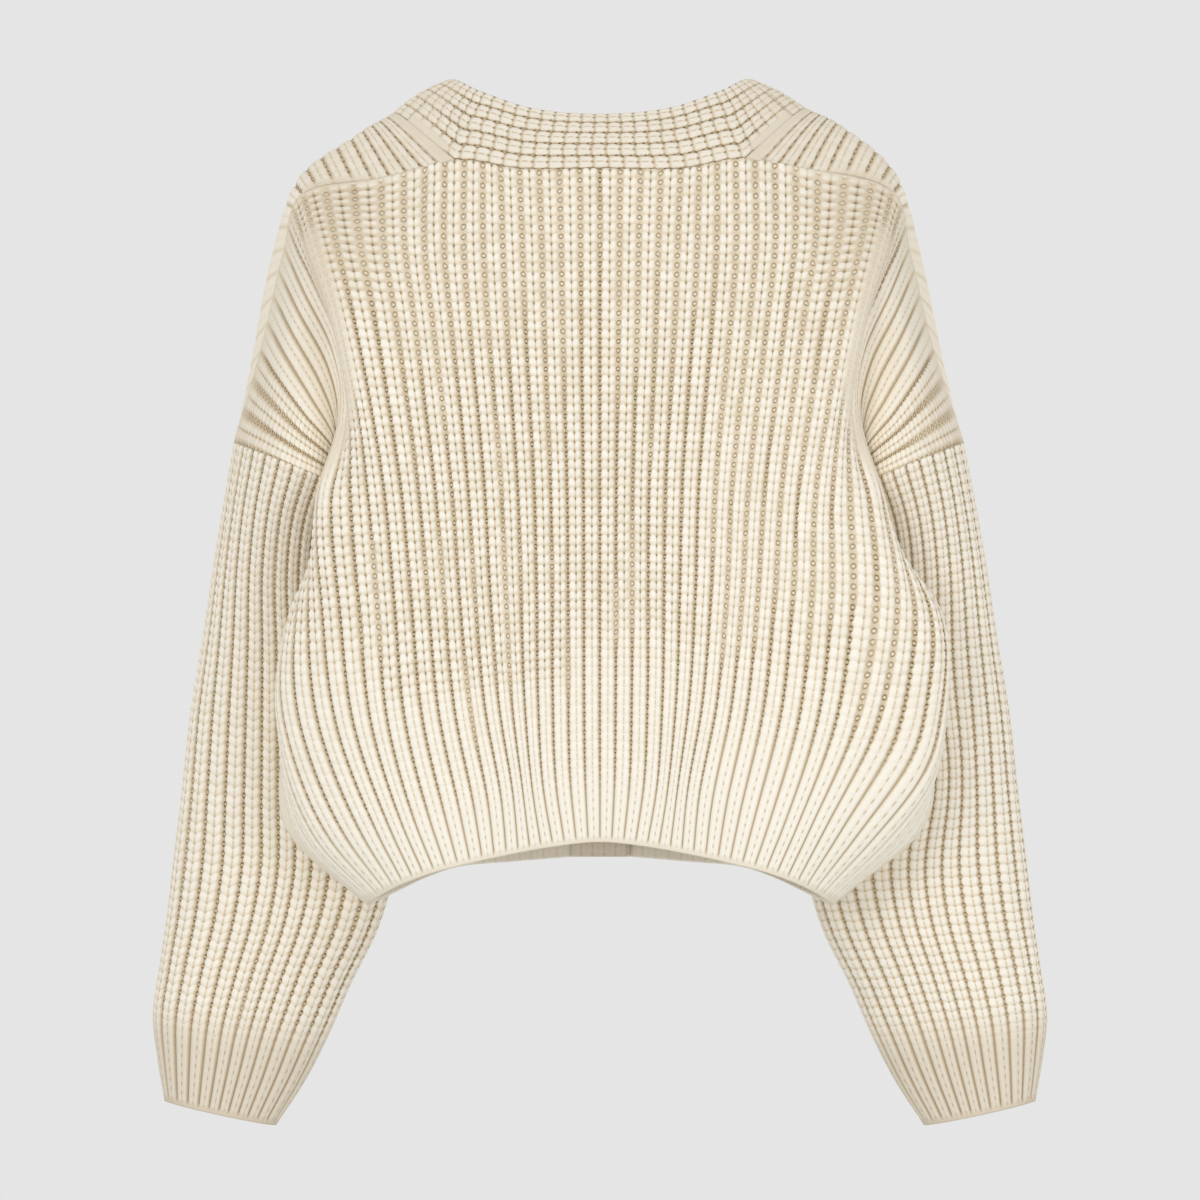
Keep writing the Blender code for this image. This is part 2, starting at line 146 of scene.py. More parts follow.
# A sleeve, from the armhole to the cuff: x, z of its outer side, x, z of its inner side, then its
# middle and its half depth in y.
SLEEVE = (
    (245, -212, 170, -234, -18, 53),
    (252, -250, 171, -268, -36, 49),
    (261, -305, 160, -318, -53, 48),
    (269, -352, 150, -365, -62, 48),
    (275, -404, 143, -414, -68, 48),
    (281, -452, 137, -460, -71, 47),
    (285, -486, 146, -494, -72, 46),
    (290, -520, 164, -531, -72, 44),
    (294, -551, 178, -563, -71, 40),
    (291, -578, 194, -594, -69, 36),
    (286, -607, 213, -623, -67, 32),
)

# The back is fuller on the wearer's right: how far, at which height and over what reach, and the
# share of it that each rib takes.
FULLER_BY, FULLER_BACK, FULLER_Z, FULLER_REACH = 23, 7, -308, 55
FULLER_SHARE = {11: 0.1, 14: 0.3, 17: 0.65, 21: 1.0}

# The wearer's right, where the garment has settled unevenly: x and z of the middle of the place, its
# reach in x and in z, and how far its cloth has moved in x and in z.
SETTLED = (
    (-235, -55, 65, 110, 5, 0),
    (-152, 12, 42, 34, 0, 6.5),
    (-205, -392, 32, 50, -9, 0),
)


def smooth_curve(knots, values, places):
    """Reads a smooth curve through the values at uneven knots."""
    knots, values = np.asarray(knots, float), np.asarray(values, float)
    places = np.asarray(places, float)
    shape = values.shape[1:]
    values = values.reshape(len(knots), -1)
    step = np.diff(knots)[:, None]
    slope = np.diff(values, axis=0) / step
    tangent = np.empty_like(values)
    tangent[1:-1] = (slope[:-1] * step[1:] + slope[1:] * step[:-1]) / (step[1:] + step[:-1])
    tangent[0], tangent[-1] = slope[0], slope[-1]
    first = np.clip(np.searchsorted(knots, places, side="right") - 1, 0, len(step) - 1)
    long = step[first]
    t = (places[:, None] - knots[first][:, None]) / long
    found = (
        (2 * t**3 - 3 * t**2 + 1) * values[first]
        + (t**3 - 2 * t**2 + t) * long * tangent[first]
        + (3 * t**2 - 2 * t**3) * values[first + 1]
        + (t**3 - t**2) * long * tangent[first + 1]
    )
    return found.reshape(len(places), *shape)


def read_table(table, places):
    """Reads a smooth curve through a table, whose first column holds the knots."""
    table = np.asarray(table, float)
    return smooth_curve(table[:, 0], table[:, 1:], places)


def smooth_step(value, low, high):
    """Goes from 0 to 1 without a corner as the value goes from low to high."""
    t = np.clip((np.asarray(value, float) - low) / (high - low), 0, 1)
    return t * t * (3 - 2 * t)


def unit(vectors):
    """The same directions, 1 long."""
    return vectors / np.maximum(np.linalg.norm(vectors, axis=-1, keepdims=True), 1e-9)


def lengths(points):
    """How far along a line of points each one lies."""
    return np.concatenate([[0], np.cumsum(np.linalg.norm(np.diff(points, axis=0), axis=1))])


def ellipse(centre, out, back, angles):
    """Points of an ellipse, from the vectors to its outermost and its rearmost point."""
    return (
        np.asarray(centre)
        + np.cos(angles)[:, None] * np.asarray(out)
        + np.sin(angles)[:, None] * np.asarray(back)
    )


def armhole(levels, side):
    """Points of the armhole seam: on its back half where side is 1, on its front half where it is -1."""
    share = np.asarray(levels, float) / UNDERARM
    return ellipse(*ARMHOLE, ARMHOLE_START + share * (side * math.pi - ARMHOLE_START))


def edge_seam(levels, side):
    """Points of the armhole seam and, below the underarm, of the side seam."""
    levels = np.asarray(levels, float)
    down = read_table(SIDE_SEAM, np.maximum(levels, UNDERARM))
    return np.where(levels[:, None] < UNDERARM, armhole(levels, side), down)


def fuller(points, ribs):
    """Moves the points of the wearer's right outward and back, where the back is fuller."""
    share = np.interp(ribs, [0, *FULLER_SHARE, EDGE_RIB], [0, *FULLER_SHARE.values(), 0])
    bump = np.exp(-(((points[..., 2] - FULLER_Z) / FULLER_REACH) ** 2))
    points[..., 0] += FULLER_BY * bump * share
    points[..., 1] += FULLER_BACK * bump * share
    return points


def settled(points):
    """Moves the cloth of the wearer's right, where it has settled unevenly."""
    moved = points.copy()
    for x, z, wide, tall, move_x, move_z in SETTLED:
        bump = np.exp(-(((points[..., 0] - x) / wide) ** 2) - ((points[..., 2] - z) / tall) ** 2)
        moved[..., 0] += move_x * bump
        moved[..., 2] += move_z * bump
    return moved


def back_half_net(right):
    """Levels by ribs by x, y, z: the named points of half of the back, seam aside."""
    sides = {row[0]: row[1:] for row in BACK_SIDES}
    net = []
    for level, y, z, *middle in BACK_MIDDLE:
        fold = sides[level][0]
        line = []
        for rib, x in zip(BACK_RIBS, (0, *middle)):
            out = rib / FOLD_RIB
            line.append((x, y + (fold[1] - y) * out**2, z + (fold[2] - z) * out**1.5))
        net.append([*line, *sides[level]])
    net = np.array(net, float)
    if right:
        net = fuller(net, BACK_RIBS[:-1])
    top = np.array([row[1:] for row in TOP_EDGE], float)
    return np.concatenate([top[None], net])


def back_points(ribs, levels):
    """The back's outer surface at these ribs, negative on the wearer's right, and levels."""
    knots = (0, *[row[0] for row in BACK_MIDDLE])
    halves = []
    for right in (False, True):
        lines = smooth_curve(knots, back_half_net(right), levels)
        halves.append(np.concatenate([lines, edge_seam(levels, 1)[:, None]], axis=1))
    left, right = halves
    right = right[:, ::-1] * (-1, 1, 1)
    whole = np.concatenate([right, left[:, 1:]], axis=1)
    stations = [-rib for rib in reversed(BACK_RIBS)] + list(BACK_RIBS[1:])
    return smooth_curve(stations, whole.transpose(1, 0, 2), ribs).transpose(1, 0, 2)


def front_points(ribs, levels):
    """The left front's outer surface."""
    net = np.array([read_table(TOP_EDGE, FRONT_TOP_RIBS), *[row[1:] for row in FRONT]], float)
    lines = smooth_curve((0, *[row[0] for row in FRONT]), net, levels)
    lines = np.concatenate([lines, edge_seam(levels, -1)[:, None]], axis=1)
    return smooth_curve(FRONT_RIBS, lines.transpose(1, 0, 2), ribs).transpose(1, 0, 2)


def free_edge(places):
    """Points of the free edge of the collar and the left band."""
    table = np.asarray(FREE_EDGE, float)
    mirrored = table[1:4][::-1] * (-1, -1, 1, 1)
    return read_table(np.concatenate([mirrored, table]), places)


def lapped(points, levels, share, way):
    """Moves the cloth near a front edge out (way 1) or in (way -1), so that one band laps the other."""
    lift = LAP_STEP * way * smooth_step(levels, 10, 24)[:, None] * share
    moved = points.copy()
    moved[..., 1] -= lift
    return moved


def neckline(places, shares):
    """Points of the collar and the bands. A place is a rib at the back of the neck and, past the
    collar's seam, that rib plus the front's level, less than 0 on the wearer's right. A share goes from
    the seam, at 0, to the free edge, at 1."""
    side, far = np.sign(places), np.abs(places)
    levels = np.maximum(far - NECK_RIB, 0)
    back = back_points(np.clip(places, -NECK_RIB, NECK_RIB), [0])[0]
    front = lapped(front_points([FRONT_RIBS[0]], levels), levels, 1, -side[:, None])[:, 0]
    mirror = np.stack([side, side**2, side**2], axis=1)
    seam = np.where(far[:, None] > NECK_RIB, front * mirror, back)
    free = lapped(free_edge(far)[:, None], levels, 1, -side[:, None])[:, 0]
    free[:, 0] *= side
    across = free - seam
    out = unit(np.cross(across, np.gradient(seam, axis=0)))
    crown = COLLAR_CROWN * (1 - smooth_step(levels, 9, 21))
    share = np.asarray(shares)[None, :, None]
    bow = 4 * share * (1 - share) * crown[:, None, None]
    return settled(seam[:, None] + across[:, None] * share + bow * out[:, None])


def sleeve_points(places, rows):
    """Rings of the left sleeve, each divided evenly by its length into places from 0 to 1. A ring runs
    from the shoulder down its back and up its front."""
    angles = ARMHOLE_START + np.linspace(0, 2 * math.pi, 361)
    rings = [ellipse(*ARMHOLE, angles)]
    for outer_x, outer_z, inner_x, inner_z, middle, deep in SLEEVE:
        outer, inner = np.array([outer_x, middle, outer_z]), np.array([inner_x, middle, inner_z])
        rings.append(ellipse((outer + inner) / 2, (outer - inner) / 2, (0, deep, 0), angles))
    rings = np.array(rings)
    down = lengths(rings.mean(axis=1))
    tube = smooth_curve(down, rings, np.linspace(0, down[-1], rows))
    even = []
    for ring in tube:
        round_it = lengths(ring)
        even.append([np.interp(places * round_it[-1], round_it, ring[:, k]) for k in range(3)])
    return np.array(even).transpose(0, 2, 1)


# Each piece's flat cut in metres: width, length, area, and what it is joined to.
CUTS = {
    "back": (0.738, 0.476, 0.25, ("front_left", "front_right", "sleeve_left", "sleeve_right")),
    "front_left": (0.274, 0.623, 0.104, ("back",)),
    "front_right": (0.273, 0.629, 0.104, ("back",)),
    "sleeve_left": (0.377, 0.454, 0.14, ("back", "front_left")),
    "sleeve_right": (0.377, 0.454, 0.14, ("back", "front_right")),
    "collar": (0.058, 0.305, 0.0127, ("back",)),
    "band_left": (0.046, 0.58, 0.024, ("front_left",)),
    "band_right": (0.046, 0.582, 0.024, ("front_right",)),
}

# ---- The knit: how many stitches each piece has, and where its relief lies ----

LAST_RIB = 24  # the ribs from the middle to the side seam
THICKER = 0.02  # how fast the ribs past the fold grow thicker
SLEEVE_RIBS = 27  # round a sleeve
SLEEVE_CROWD = 0.22  # how much closer they lie on its back and front than at its sides
SLEEVE_ROWS = 69  # from the armhole to the cuff
STRIP_RIBS = 5  # across the collar and the bands, running along them
STRIP_ROW = 9  # from one row of the collar and the bands to the next
RIB_WIDE, ROW_HIGH = 12.7, 6.1  # a rib and a row of the back

RIB_SAMPLES = (0, 0.14, 0.3, 0.5, 0.7, 0.86)  # a rib's columns in the mesh: the furrow, then the flanks
ROW_SAMPLES = (0, 0.25, 0.5, 0.75)  # a row's lines in the mesh
INNER_COLUMNS, INNER_ROWS = 3, 4  # the inner side keeps every third column and every fourth line
INNER_CALM = 0.82  # how smooth the inner side is
CALM_TONE = 0.9  # the tone of the cloth where no stitches show

STITCH = 4.2  # the middle of a stitch is one part in this of a rib away from the rib's middle
SCALLOP = 0.18  # how much a rib narrows between two rows
ARC = 0.28  # how far a stitch rises over the row above it, in rows
PLAINER = 1.4  # how soon the rows fade as the stitches turn plain
SHIFT, SHIFT_REACH = 0.09, 8  # how far a rib's rows stray, and over how many rows
GAPE_OWN, GAPE_BEND, GAPE_REACH = 0.6, 0.8, 6  # how unlike furrows are, and one is along its length
GAPE_LEAST, GAPE_MOST = 0.03, 0.24
GAPES = (0.1, 0.17)  # how open a furrow is when its flanks start to draw back, and when they have

# What the knit of a piece is like, each a number or a field over its grid: open is how far the furrows
# gape, plain how little the two stitches of a rib show, rows how much the rows show, thin how narrow
# the furrows are, calm how smooth the whole is, vee how far the stitches tilt, and the last how much
# painted shade greys the wool. The mesh carries these for the material. Two more shape the mesh alone,
# in mm: deep is the depth of the furrows, and lift how far the stitches stand out from the panel's
# surface.
KNIT_FIELDS = ("open", "plain", "rows", "thin", "calm", "vee", "worn")
BODY_DEEP, CAP_SHALLOWER, SLEEVE_DEEP, STRIP_DEEP = 2.2, 0.8, 1.7, 1.8
LIFT = 0.3
OPEN, UNEVEN = 0.1, 0.02  # how far furrows gape as a rule, and how unlike one another they are

# The knit of each sleeve above its cuff, the wearer's left one being side 1, and of both cuffs. The
# left one's stitches tilt, and the right one's furrows are narrower.
SLEEVE_KNITS = {
    1: {"plain": 0.55, "thin": 0.15, "rows": 0.75},
    -1: {"plain": 0.66, "thin": 0.45, "rows": 0.9},
}
SLEEVE_VEES = {1: 0.7, -1: 0.1}
CUFF_KNIT = {"plain": 0.95, "thin": 0.4, "rows": 0.05}

BUTTONS = 4
BUTTON_RADIUS, BUTTON_THICK = 11.0, 4.2
BUTTON_HOLES, BUTTON_HOLE, BUTTON_HOLE_OUT = 4, 1.1, 2.6  # how many, their radius and how far out
BUTTON_DISH = 0.76  # the thickness in the middle, as a share of that at the rim
BUTTON_PROFILE = (  # from the middle of the front round the rim to the back: out and up, as shares
    (0, BUTTON_DISH), (0.62, BUTTON_DISH), (0.68, 0.78), (0.73, 0.85), (0.79, 0.95), (0.86, 1.0),
    (0.93, 0.95), (0.98, 0.82), (1.0, 0.62), (0.995, 0.4), (0.965, 0.2), (0.9, 0.06), (0.82, 0), (0, 0),
)
BUTTON_SIDES, HOLE_SIDES = 72, 24
STRANDS, STRAND_RADIUS = 4, 0.24  # in a bundle
STRAND_ABOVE = 0.35  # how high the strands pass over the button's dish
STRAND_POINTS, STRAND_SIDES = 13, 8


def samples(first, last, parts):
    """Places from first to last, at these parts of every whole unit."""
    units = np.arange(math.floor(first), math.ceil(last))
    places = (units[:, None] + np.asarray(parts)[None, :]).ravel()
    return np.append(places[(places >= first - 1e-9) & (places < last - 1e-9)], last)


def outward(grid, closes):
    """Unit normals of a grid of points, outward where columns run to the left, seen from outside."""
    if closes:
        ring = np.concatenate([grid[:, -2:], grid, grid[:, :2]], axis=1)
        return outward(ring, False)[:, 2:-2]
    across, down = np.gradient(grid, axis=1), np.gradient(grid, axis=0)
    return unit(np.cross(across, down))


def knit_relief(u, v, knit):
    """Height of the knit in mm, 0 at the top of a stitch. Across a rib, t goes from 0.5 in the furrow on
    its right to -0.5 in the one on its left. The ribs lean, so the right flank is gentler."""
    t = 0.5 - (u - np.floor(u))
    puff = (STITCH * np.abs(t) - 1) ** 2
    s = v + knit["vee"] * np.abs(t) - ARC * (1 - knit["plain"]) * puff
    row = smooth_step(np.abs(2 * (s - np.floor(s)) - 1), 0.3, 1) * knit["rows"]
    t = t / (1 - SCALLOP * row)
    wide = smooth_step(knit["open"], *GAPES)
    right = smooth_step(t, 0.22 + 0.14 * knit["thin"], 0.54 - 0.16 * wide)
    left = smooth_step(-t, 0.38 - 0.12 * wide, 0.54 - 0.14 * wide)
    flank = (right + left) * (1 - 0.4 * wide)
    crease = (1 - knit["plain"]) ** 2 * np.clip(1 - np.abs(t) / 0.2, 0, 1) ** 2
    low = np.minimum(flank + (1 - flank) * (0.25 * crease + 0.3 * row), 1)
    return -knit["deep"] * low * (1 - knit["calm"])


def inner_side(field):
    """The part of a field over a grid that the inner side keeps."""
    return field[::INNER_ROWS, ::INNER_COLUMNS]


def wall_faces(outer, inner, closes):
    """Faces of a wall from its grids of vertex numbers: both sides and the edges, where one face reaches
    from a step of the inner side to the finer steps of the outer side."""
    if closes:
        outer = np.concatenate([outer, outer[:, :1]], axis=1)
        inner = np.concatenate([inner, inner[:, :1]], axis=1)
    faces = []
    for index, order in ((outer, (0, 1, 2, 3)), (inner, (1, 0, 3, 2))):
        corners = (index[:-1, :-1], index[:-1, 1:], index[1:, 1:], index[1:, :-1])
        faces += np.stack([corners[i] for i in order], axis=-1).reshape(-1, 4).tolist()
    edges = [(outer[0], inner[0], INNER_COLUMNS, True), (outer[-1], inner[-1], INNER_COLUMNS, False)]
    if not closes:
        edges.append((outer[:, -1], inner[:, -1], INNER_ROWS, True))
        edges.append((outer[:, 0], inner[:, 0], INNER_ROWS, False))
    for fine, coarse, step, turned in edges:
        for j in range(len(coarse) - 1):
            part = fine[j * step : (j + 1) * step + 1].tolist()
            ends = [coarse[j + 1], coarse[j]]
            faces.append(part[::-1] + ends[::-1] if turned else part + ends)
    return faces


def corner_places(places, faces, closes):
    """The place of each corner of the faces. In a tube, a face on the seam goes on past the last rib."""
    found = places[np.array([i for face in faces for i in face])]
    if closes:
        sizes = np.array([len(face) for face in faces])
        starts = np.concatenate([[0], np.cumsum(sizes)[:-1]])
        most = np.repeat(np.maximum.reduceat(found[:, 0], starts), sizes)
        found[:, 0] += np.where(found[:, 0] < most - SLEEVE_RIBS / 2, SLEEVE_RIBS, 0)
    return found


def both_sides(outer, inner):
    """The values of the outer side's vertices, then of the inner side's."""
    width = outer.shape[2:]
    return np.concatenate([outer.reshape(-1, *width), inner.reshape(-1, *width)])


def new_object(name, data):
    """A new object in the scene."""
    made = bpy.data.objects.new(name, data)
    bpy.context.scene.collection.objects.link(made)
    return made


def knit_mesh(name, grid, u, v, knit, closes=False):
    """A knitted wall on a grid of points: the relief outside, a plainer inner side, and the edges."""
    normals = outward(grid, closes)
    shown = shifted_rows(u, v, len(v) + len(u))
    relief = knit_relief(u[None, :], shown, knit) + knit["lift"]
    outer = grid + normals * relief[..., None]
    inner = inner_side(grid - normals * WALL)
    count, inner_count = shown.size, inner[..., 0].size
    outer_index = np.arange(count).reshape(shown.shape)
    inner_index = count + np.arange(inner_count).reshape(inner.shape[:2])
    faces = wall_faces(outer_index, inner_index, closes)
    mesh = bpy.data.meshes.new(name)
    mesh.from_pydata(both_sides(outer, inner) * MM, [], faces)
    place = np.stack([np.broadcast_to(u, shown.shape), shown], axis=-1)
    uv = corner_places(both_sides(place, inner_side(place)), faces, closes)
    mesh.uv_layers.new(name="knit").data.foreach_set("uv", uv.ravel().astype(np.float32))
    for key in KNIT_FIELDS:
        inside = inner_side(knit[key]) if key != "calm" else np.full(inner.shape[:2], INNER_CALM)
        values = both_sides(knit[key], inside).astype(np.float32)
        mesh.attributes.new(key, "FLOAT", "POINT").data.foreach_set("value", values)
    mesh.shade_smooth()
    mesh.update()
    return new_object(name, mesh)


def wander(rng, count, v, reach, size, own=0):
    """Random amounts for this many ribs, which change slowly along each: rows by ribs."""
    knots = np.arange(v[0] - reach, v[-1] + 2 * reach, reach)
    bends = own + rng.normal(0, size, (count, len(knots)))
    return np.array([np.interp(v, knots, bend) for bend in bends]).T


def shifted_rows(u, v, seed):
    """The row that each place shows: v, moved up or down a little from one rib to the next."""
    ribs = np.floor(u).astype(int)
    ribs -= ribs.min()
    shifts = wander(np.random.default_rng(seed), ribs.max() + 1, v, SHIFT_REACH, SHIFT)
    return v[:, None] + shifts[:, ribs]


def gaping(u, v, usual, spread, seed):
    """How far the furrows gape: each by its own amount, which changes slowly along it."""
    rng = np.random.default_rng(seed)
    furrows = np.round(u).astype(int)
    furrows -= furrows.min()
    count = furrows.max() + 1
    own = rng.normal(0, GAPE_OWN, count)[:, None]
    bends = wander(rng, count, v, GAPE_REACH, GAPE_BEND, own)
    return np.clip(usual + spread * bends[:, furrows], GAPE_LEAST, GAPE_MOST)


def knit_settings(shape, vee=0, **fields):
    """The knit of a piece, each of its settings spread over the grid."""
    fields["vee"] = vee
    return {key: np.broadcast_to(np.asarray(value, float), shape) for key, value in fields.items()}


def blend(value, other, share):
    """Goes from a value to another as the share goes from 0 to 1."""
    return value + (other - value) * share


def rib_column(u):
    """The column of the panel's net where a rib lies. Past the fold the ribs grow thicker, so that the
    last one ends at the net's edge."""
    past, most = np.maximum(np.abs(u) - FOLD_RIB, 0), LAST_RIB - FOLD_RIB
    first = (EDGE_RIB - FOLD_RIB - THICKER * most**2) / most
    return np.sign(u) * (np.minimum(np.abs(u), FOLD_RIB) + first * past + THICKER * past**2)


def zone(out, down, ribs_from=None, ribs_to=None, levels_from=None, levels_to=None):
    """1 in a part of a panel and 0 around it. Each of its sides is a pair: where the knit starts to
    change, and where it has changed."""
    inside = 1
    if ribs_from:
        inside = inside * smooth_step(out, *ribs_from)
    if ribs_to:
        inside = inside * (1 - smooth_step(out, *ribs_to))
    if levels_from:
        inside = inside * smooth_step(down, *levels_from)
    if levels_to:
        inside = inside * (1 - smooth_step(down, *levels_to))
    return inside


def bound_edge(rows, last):
    """1 in the edge past the last row of the hem or a cuff, which shows no stitches."""
    return smooth_step(rows, last - 0.7, last - 0.3)


def shoulder_seam(out, down):
    """How calm the cloth is in the shoulder seam, from beside the neck outward."""
    return 0.9 * smooth_step(out, 8.5, 11) * (1 - smooth_step(down, 0.2, 0.8))


def make_back():
    """The back, with the back halves of the dropped shoulders."""
    u, v = samples(-LAST_RIB, LAST_RIB, RIB_SAMPLES), samples(0, HEM, ROW_SAMPLES)
    column = rib_column(u)
    out, down = np.abs(column)[None, :], v[:, None]
    # The cap of the shoulder, the strip along the armhole, the cap's top, and the cloth that turns over
    # the shoulder inside the fold.
    cap = zone(out, down, ribs_from=(15, 16.5), levels_to=(33, 37))
    by_seam = zone(out, down, ribs_from=(20.8, 22), levels_to=(33, 37))
    by_top = zone(out, down, ribs_from=(14, 16), levels_to=(1, 4))
    shoulder = zone(out, down, ribs_from=(9, 12), ribs_to=(13.5, 15), levels_to=(9, 16))
    # Where painted shade greys the wool over the shoulders.
    shaded_shoulders = zone(out, down, ribs_from=(9, 14), levels_to=(8, 20))
    # The fold is flat, moves outward on its way down, and has a groove beside it.
    fold = np.clip((1.1 - np.abs(out - 14.4 - 3.5 * smooth_step(down, 21, 35))) / 0.5, 0, 1)
    fold = fold * zone(out, down, levels_from=(3, 7), levels_to=(32, 38))
    groove = np.clip(1 - np.abs(out - 15.9) / 0.8, 0, 1)
    groove = groove * zone(out, down, levels_from=(4, 10), levels_to=(30, 35))
    # The rib in the side seam is smooth, and shows a little wider on the wearer's left.
    flat_ribs = (24.2 - 0.6 * (u > 0), 24.6 - 0.5 * (u > 0))
    side = zone(out, down, ribs_from=flat_ribs, levels_from=(42, 50))
    # The stitches turn plain towards the hem, later on the wearer's left and sooner on the right, where
    # the cloth is pulled and its furrows gape.
    later, sooner = 8 * (u > 2) * (out < FOLD_RIB), 7 * (u < -8)
    low = 0.6 * smooth_step(down, 44 + later, 56) + 0.35 * smooth_step(down, 62 - sooner, 70 - sooner)
    pulled = smooth_step(-u, 3, 8) * (1 - smooth_step(out, 17, 20))
    low = np.maximum(low, 0.3 * pulled * smooth_step(down, 18, 34))
    plain = blend(np.maximum(np.maximum(low, 0.8 * cap), 0.6 * shoulder), 0.2, by_seam)
    gape = np.maximum(1 - smooth_step(down, 6, 32), 0.85 * pulled * (1 - smooth_step(down, 42, 60)))
    usual = OPEN + 0.08 * gape - 0.03 * smooth_step(down, 46, 60) - 0.08 * cap + 0.06 * by_seam
    spread = UNEVEN + 0.025 * zone(out, down, levels_from=(20, 36), levels_to=(54, 64))
    calms = 0.8 * fold, 0.2 * shoulder, 0.6 * by_top, side, bound_edge(down, HEM), shoulder_seam(out, down)
    knit = knit_settings(
        (len(v), len(u)),
        open=gaping(u, v, usual, spread, 1),
        plain=plain,
        rows=(1 - plain) ** PLAINER + 2 * shoulder,
        thin=0.4 * plain * (1 - shoulder) + 0.5 * smooth_step(down, 58, 66),
        calm=np.maximum.reduce(np.broadcast_arrays(*calms)),
        deep=BODY_DEEP - CAP_SHALLOWER * cap,
        lift=LIFT - 2.5 * groove,
        # Painted shade greys the shoulders.
        worn=0.6 * shaded_shoulders,
    )
    return knit_mesh("back_knit", settled(back_points(column, v)), u, v, knit)


def make_front(side):
    """A front, with its half of the dropped shoulder. The wearer's left is side 1."""
    u, v = samples(FRONT_RIBS[0], LAST_RIB, RIB_SAMPLES), samples(0, HEM, ROW_SAMPLES)
    column = rib_column(u)
    out, down = column[None, :], v[:, None]
    grid = lapped(front_points(column, v), v, 1 - smooth_step(out, 5, 9), -side)
    # The cap of the shoulder and its top, the cloth beside the neck, and the edge sewn to the collar.
    cap = zone(out, down, ribs_from=(13, 15), levels_to=(34, 40))
    by_top = zone(out, down, ribs_from=(14, 16), levels_to=(3.5, 6))
    by_neck = zone(out, down, ribs_to=(13, 15), levels_to=(5, 10))
    by_collar = zone(out, down, ribs_to=(5.3, 6.5), levels_to=(8, 12))
    # The stitches turn plain towards the hem.
    low = 0.6 * smooth_step(down, 44, 56) + 0.35 * smooth_step(down, 56, 66)
    plain = np.maximum(low, np.maximum(0.8 * cap, 0.6 * by_neck))
    usual = OPEN - 0.06 * np.maximum(cap, by_neck) - 0.03 * low
    calms = 0.15 * by_neck, 0.75 * by_top, bound_edge(down, HEM) + by_collar, shoulder_seam(out, down)
    knit = knit_settings(
        (len(v), len(u)),
        open=gaping(u, v, usual, UNEVEN, 2),
        plain=plain,
        rows=(1 - plain) ** PLAINER,
        thin=0.4 * plain,
        calm=np.maximum.reduce(np.broadcast_arrays(*calms)),
        deep=BODY_DEEP - CAP_SHALLOWER * np.maximum(cap, by_neck),
        lift=LIFT,
        # Painted shade greys the cloth beside the neck.
        worn=0.6 * by_neck,
    )
    if side > 0:
        knit = {key: field[:, ::-1] for key, field in knit.items()}
        return knit_mesh("front_left_knit", settled(grid[:, ::-1]), -u[::-1], v, knit)
    return knit_mesh("front_right_knit", settled(grid * (-1, 1, 1)), u, v, knit)


def make_sleeve(side):
    """A sleeve from the armhole to the cuff. The wearer's left is side 1."""
    u, v = samples(0, SLEEVE_RIBS, RIB_SAMPLES)[:-1], samples(0, SLEEVE_ROWS, ROW_SAMPLES)
    share = u / SLEEVE_RIBS
    share = share + SLEEVE_CROWD / (4 * math.pi) * np.sin(4 * math.pi * share)
    grid = sleeve_points(share, len(v))
    cuff = smooth_step(v, 57, 63)[:, None]
    usual = OPEN - 0.05 * cuff if side > 0 else 0.6 * OPEN
    knit = knit_settings(
        (len(v), len(u)),
        open=gaping(u, v, usual, UNEVEN, 3),
        calm=bound_edge(v, SLEEVE_ROWS)[:, None],
        deep=SLEEVE_DEEP,
        lift=LIFT,
        # Painted shade greys the cuff.
        worn=cuff,
        vee=SLEEVE_VEES[side],
        **{key: blend(value, CUFF_KNIT[key], cuff) for key, value in SLEEVE_KNITS[side].items()},
    )
    if side > 0:
        grid = np.concatenate([grid[:, :1], grid[:, :0:-1]], axis=1)
        return knit_mesh("sleeve_left_knit", settled(grid), u, v, knit, closes=True)
    return knit_mesh("sleeve_right_knit", settled(grid * (-1, 1, 1)), u, v, knit, closes=True)


def make_strip(name, first, last):
    """A length of the collar or a band, knitted along, between two places of the neckline."""
    fine = np.linspace(first, last, 400)
    run = lengths(neckline(fine, [0.5])[:, 0])
    rows = round(run[-1] / STRIP_ROW)
    u, v = samples(0, STRIP_RIBS, RIB_SAMPLES), samples(0, rows, ROW_SAMPLES)
    places = np.interp(v / rows * run[-1], run, fine)
    # The stitches fade at both ends, and most in the two corners where the collar meets the seam.
    end = np.minimum(v, rows - v)[:, None]
    faded = 0.5 * (1 - smooth_step(end, 0.5, 4))
    corner = (1 - smooth_step(end, 3, 5)) * (u < 0.6) * (name == "collar_knit")
    knit = knit_settings(
        (len(v), len(u)),
        open=OPEN,
        plain=0.6,
        rows=1.6,
        thin=1,
        calm=np.maximum(faded, corner),
        deep=STRIP_DEEP,
        lift=LIFT,
        # Painted shade greys the collar and the bands.
        worn=0.5,
    )
    return knit_mesh(name, neckline(places, u / STRIP_RIBS), u, v, knit)


def linear(code):
    """A linear colour from an sRGB hex value."""
    parts = [int(code[i : i + 2], 16) / 255 for i in (0, 2, 4)]
    return [p / 12.92 if p <= 0.04045 else ((p + 0.055) / 1.055) ** 2.4 for p in parts] + [1]


def plug(tree, node, inputs):
    """Fills a node's sockets. Inputs are pairs of a socket and a value or another node's output."""
    for socket, value in dict(inputs).items():
        if isinstance(value, bpy.types.NodeSocket):
            tree.links.new(value, node.inputs[socket])
        else:
            node.inputs[socket].default_value = value


def add(tree, kind, inputs=(), **settings):
    """Adds a node with its settings and fills its sockets."""
    node = tree.nodes.new(kind)
    for key, value in settings.items():
        setattr(node, key, value)
    plug(tree, node, inputs)
    return node


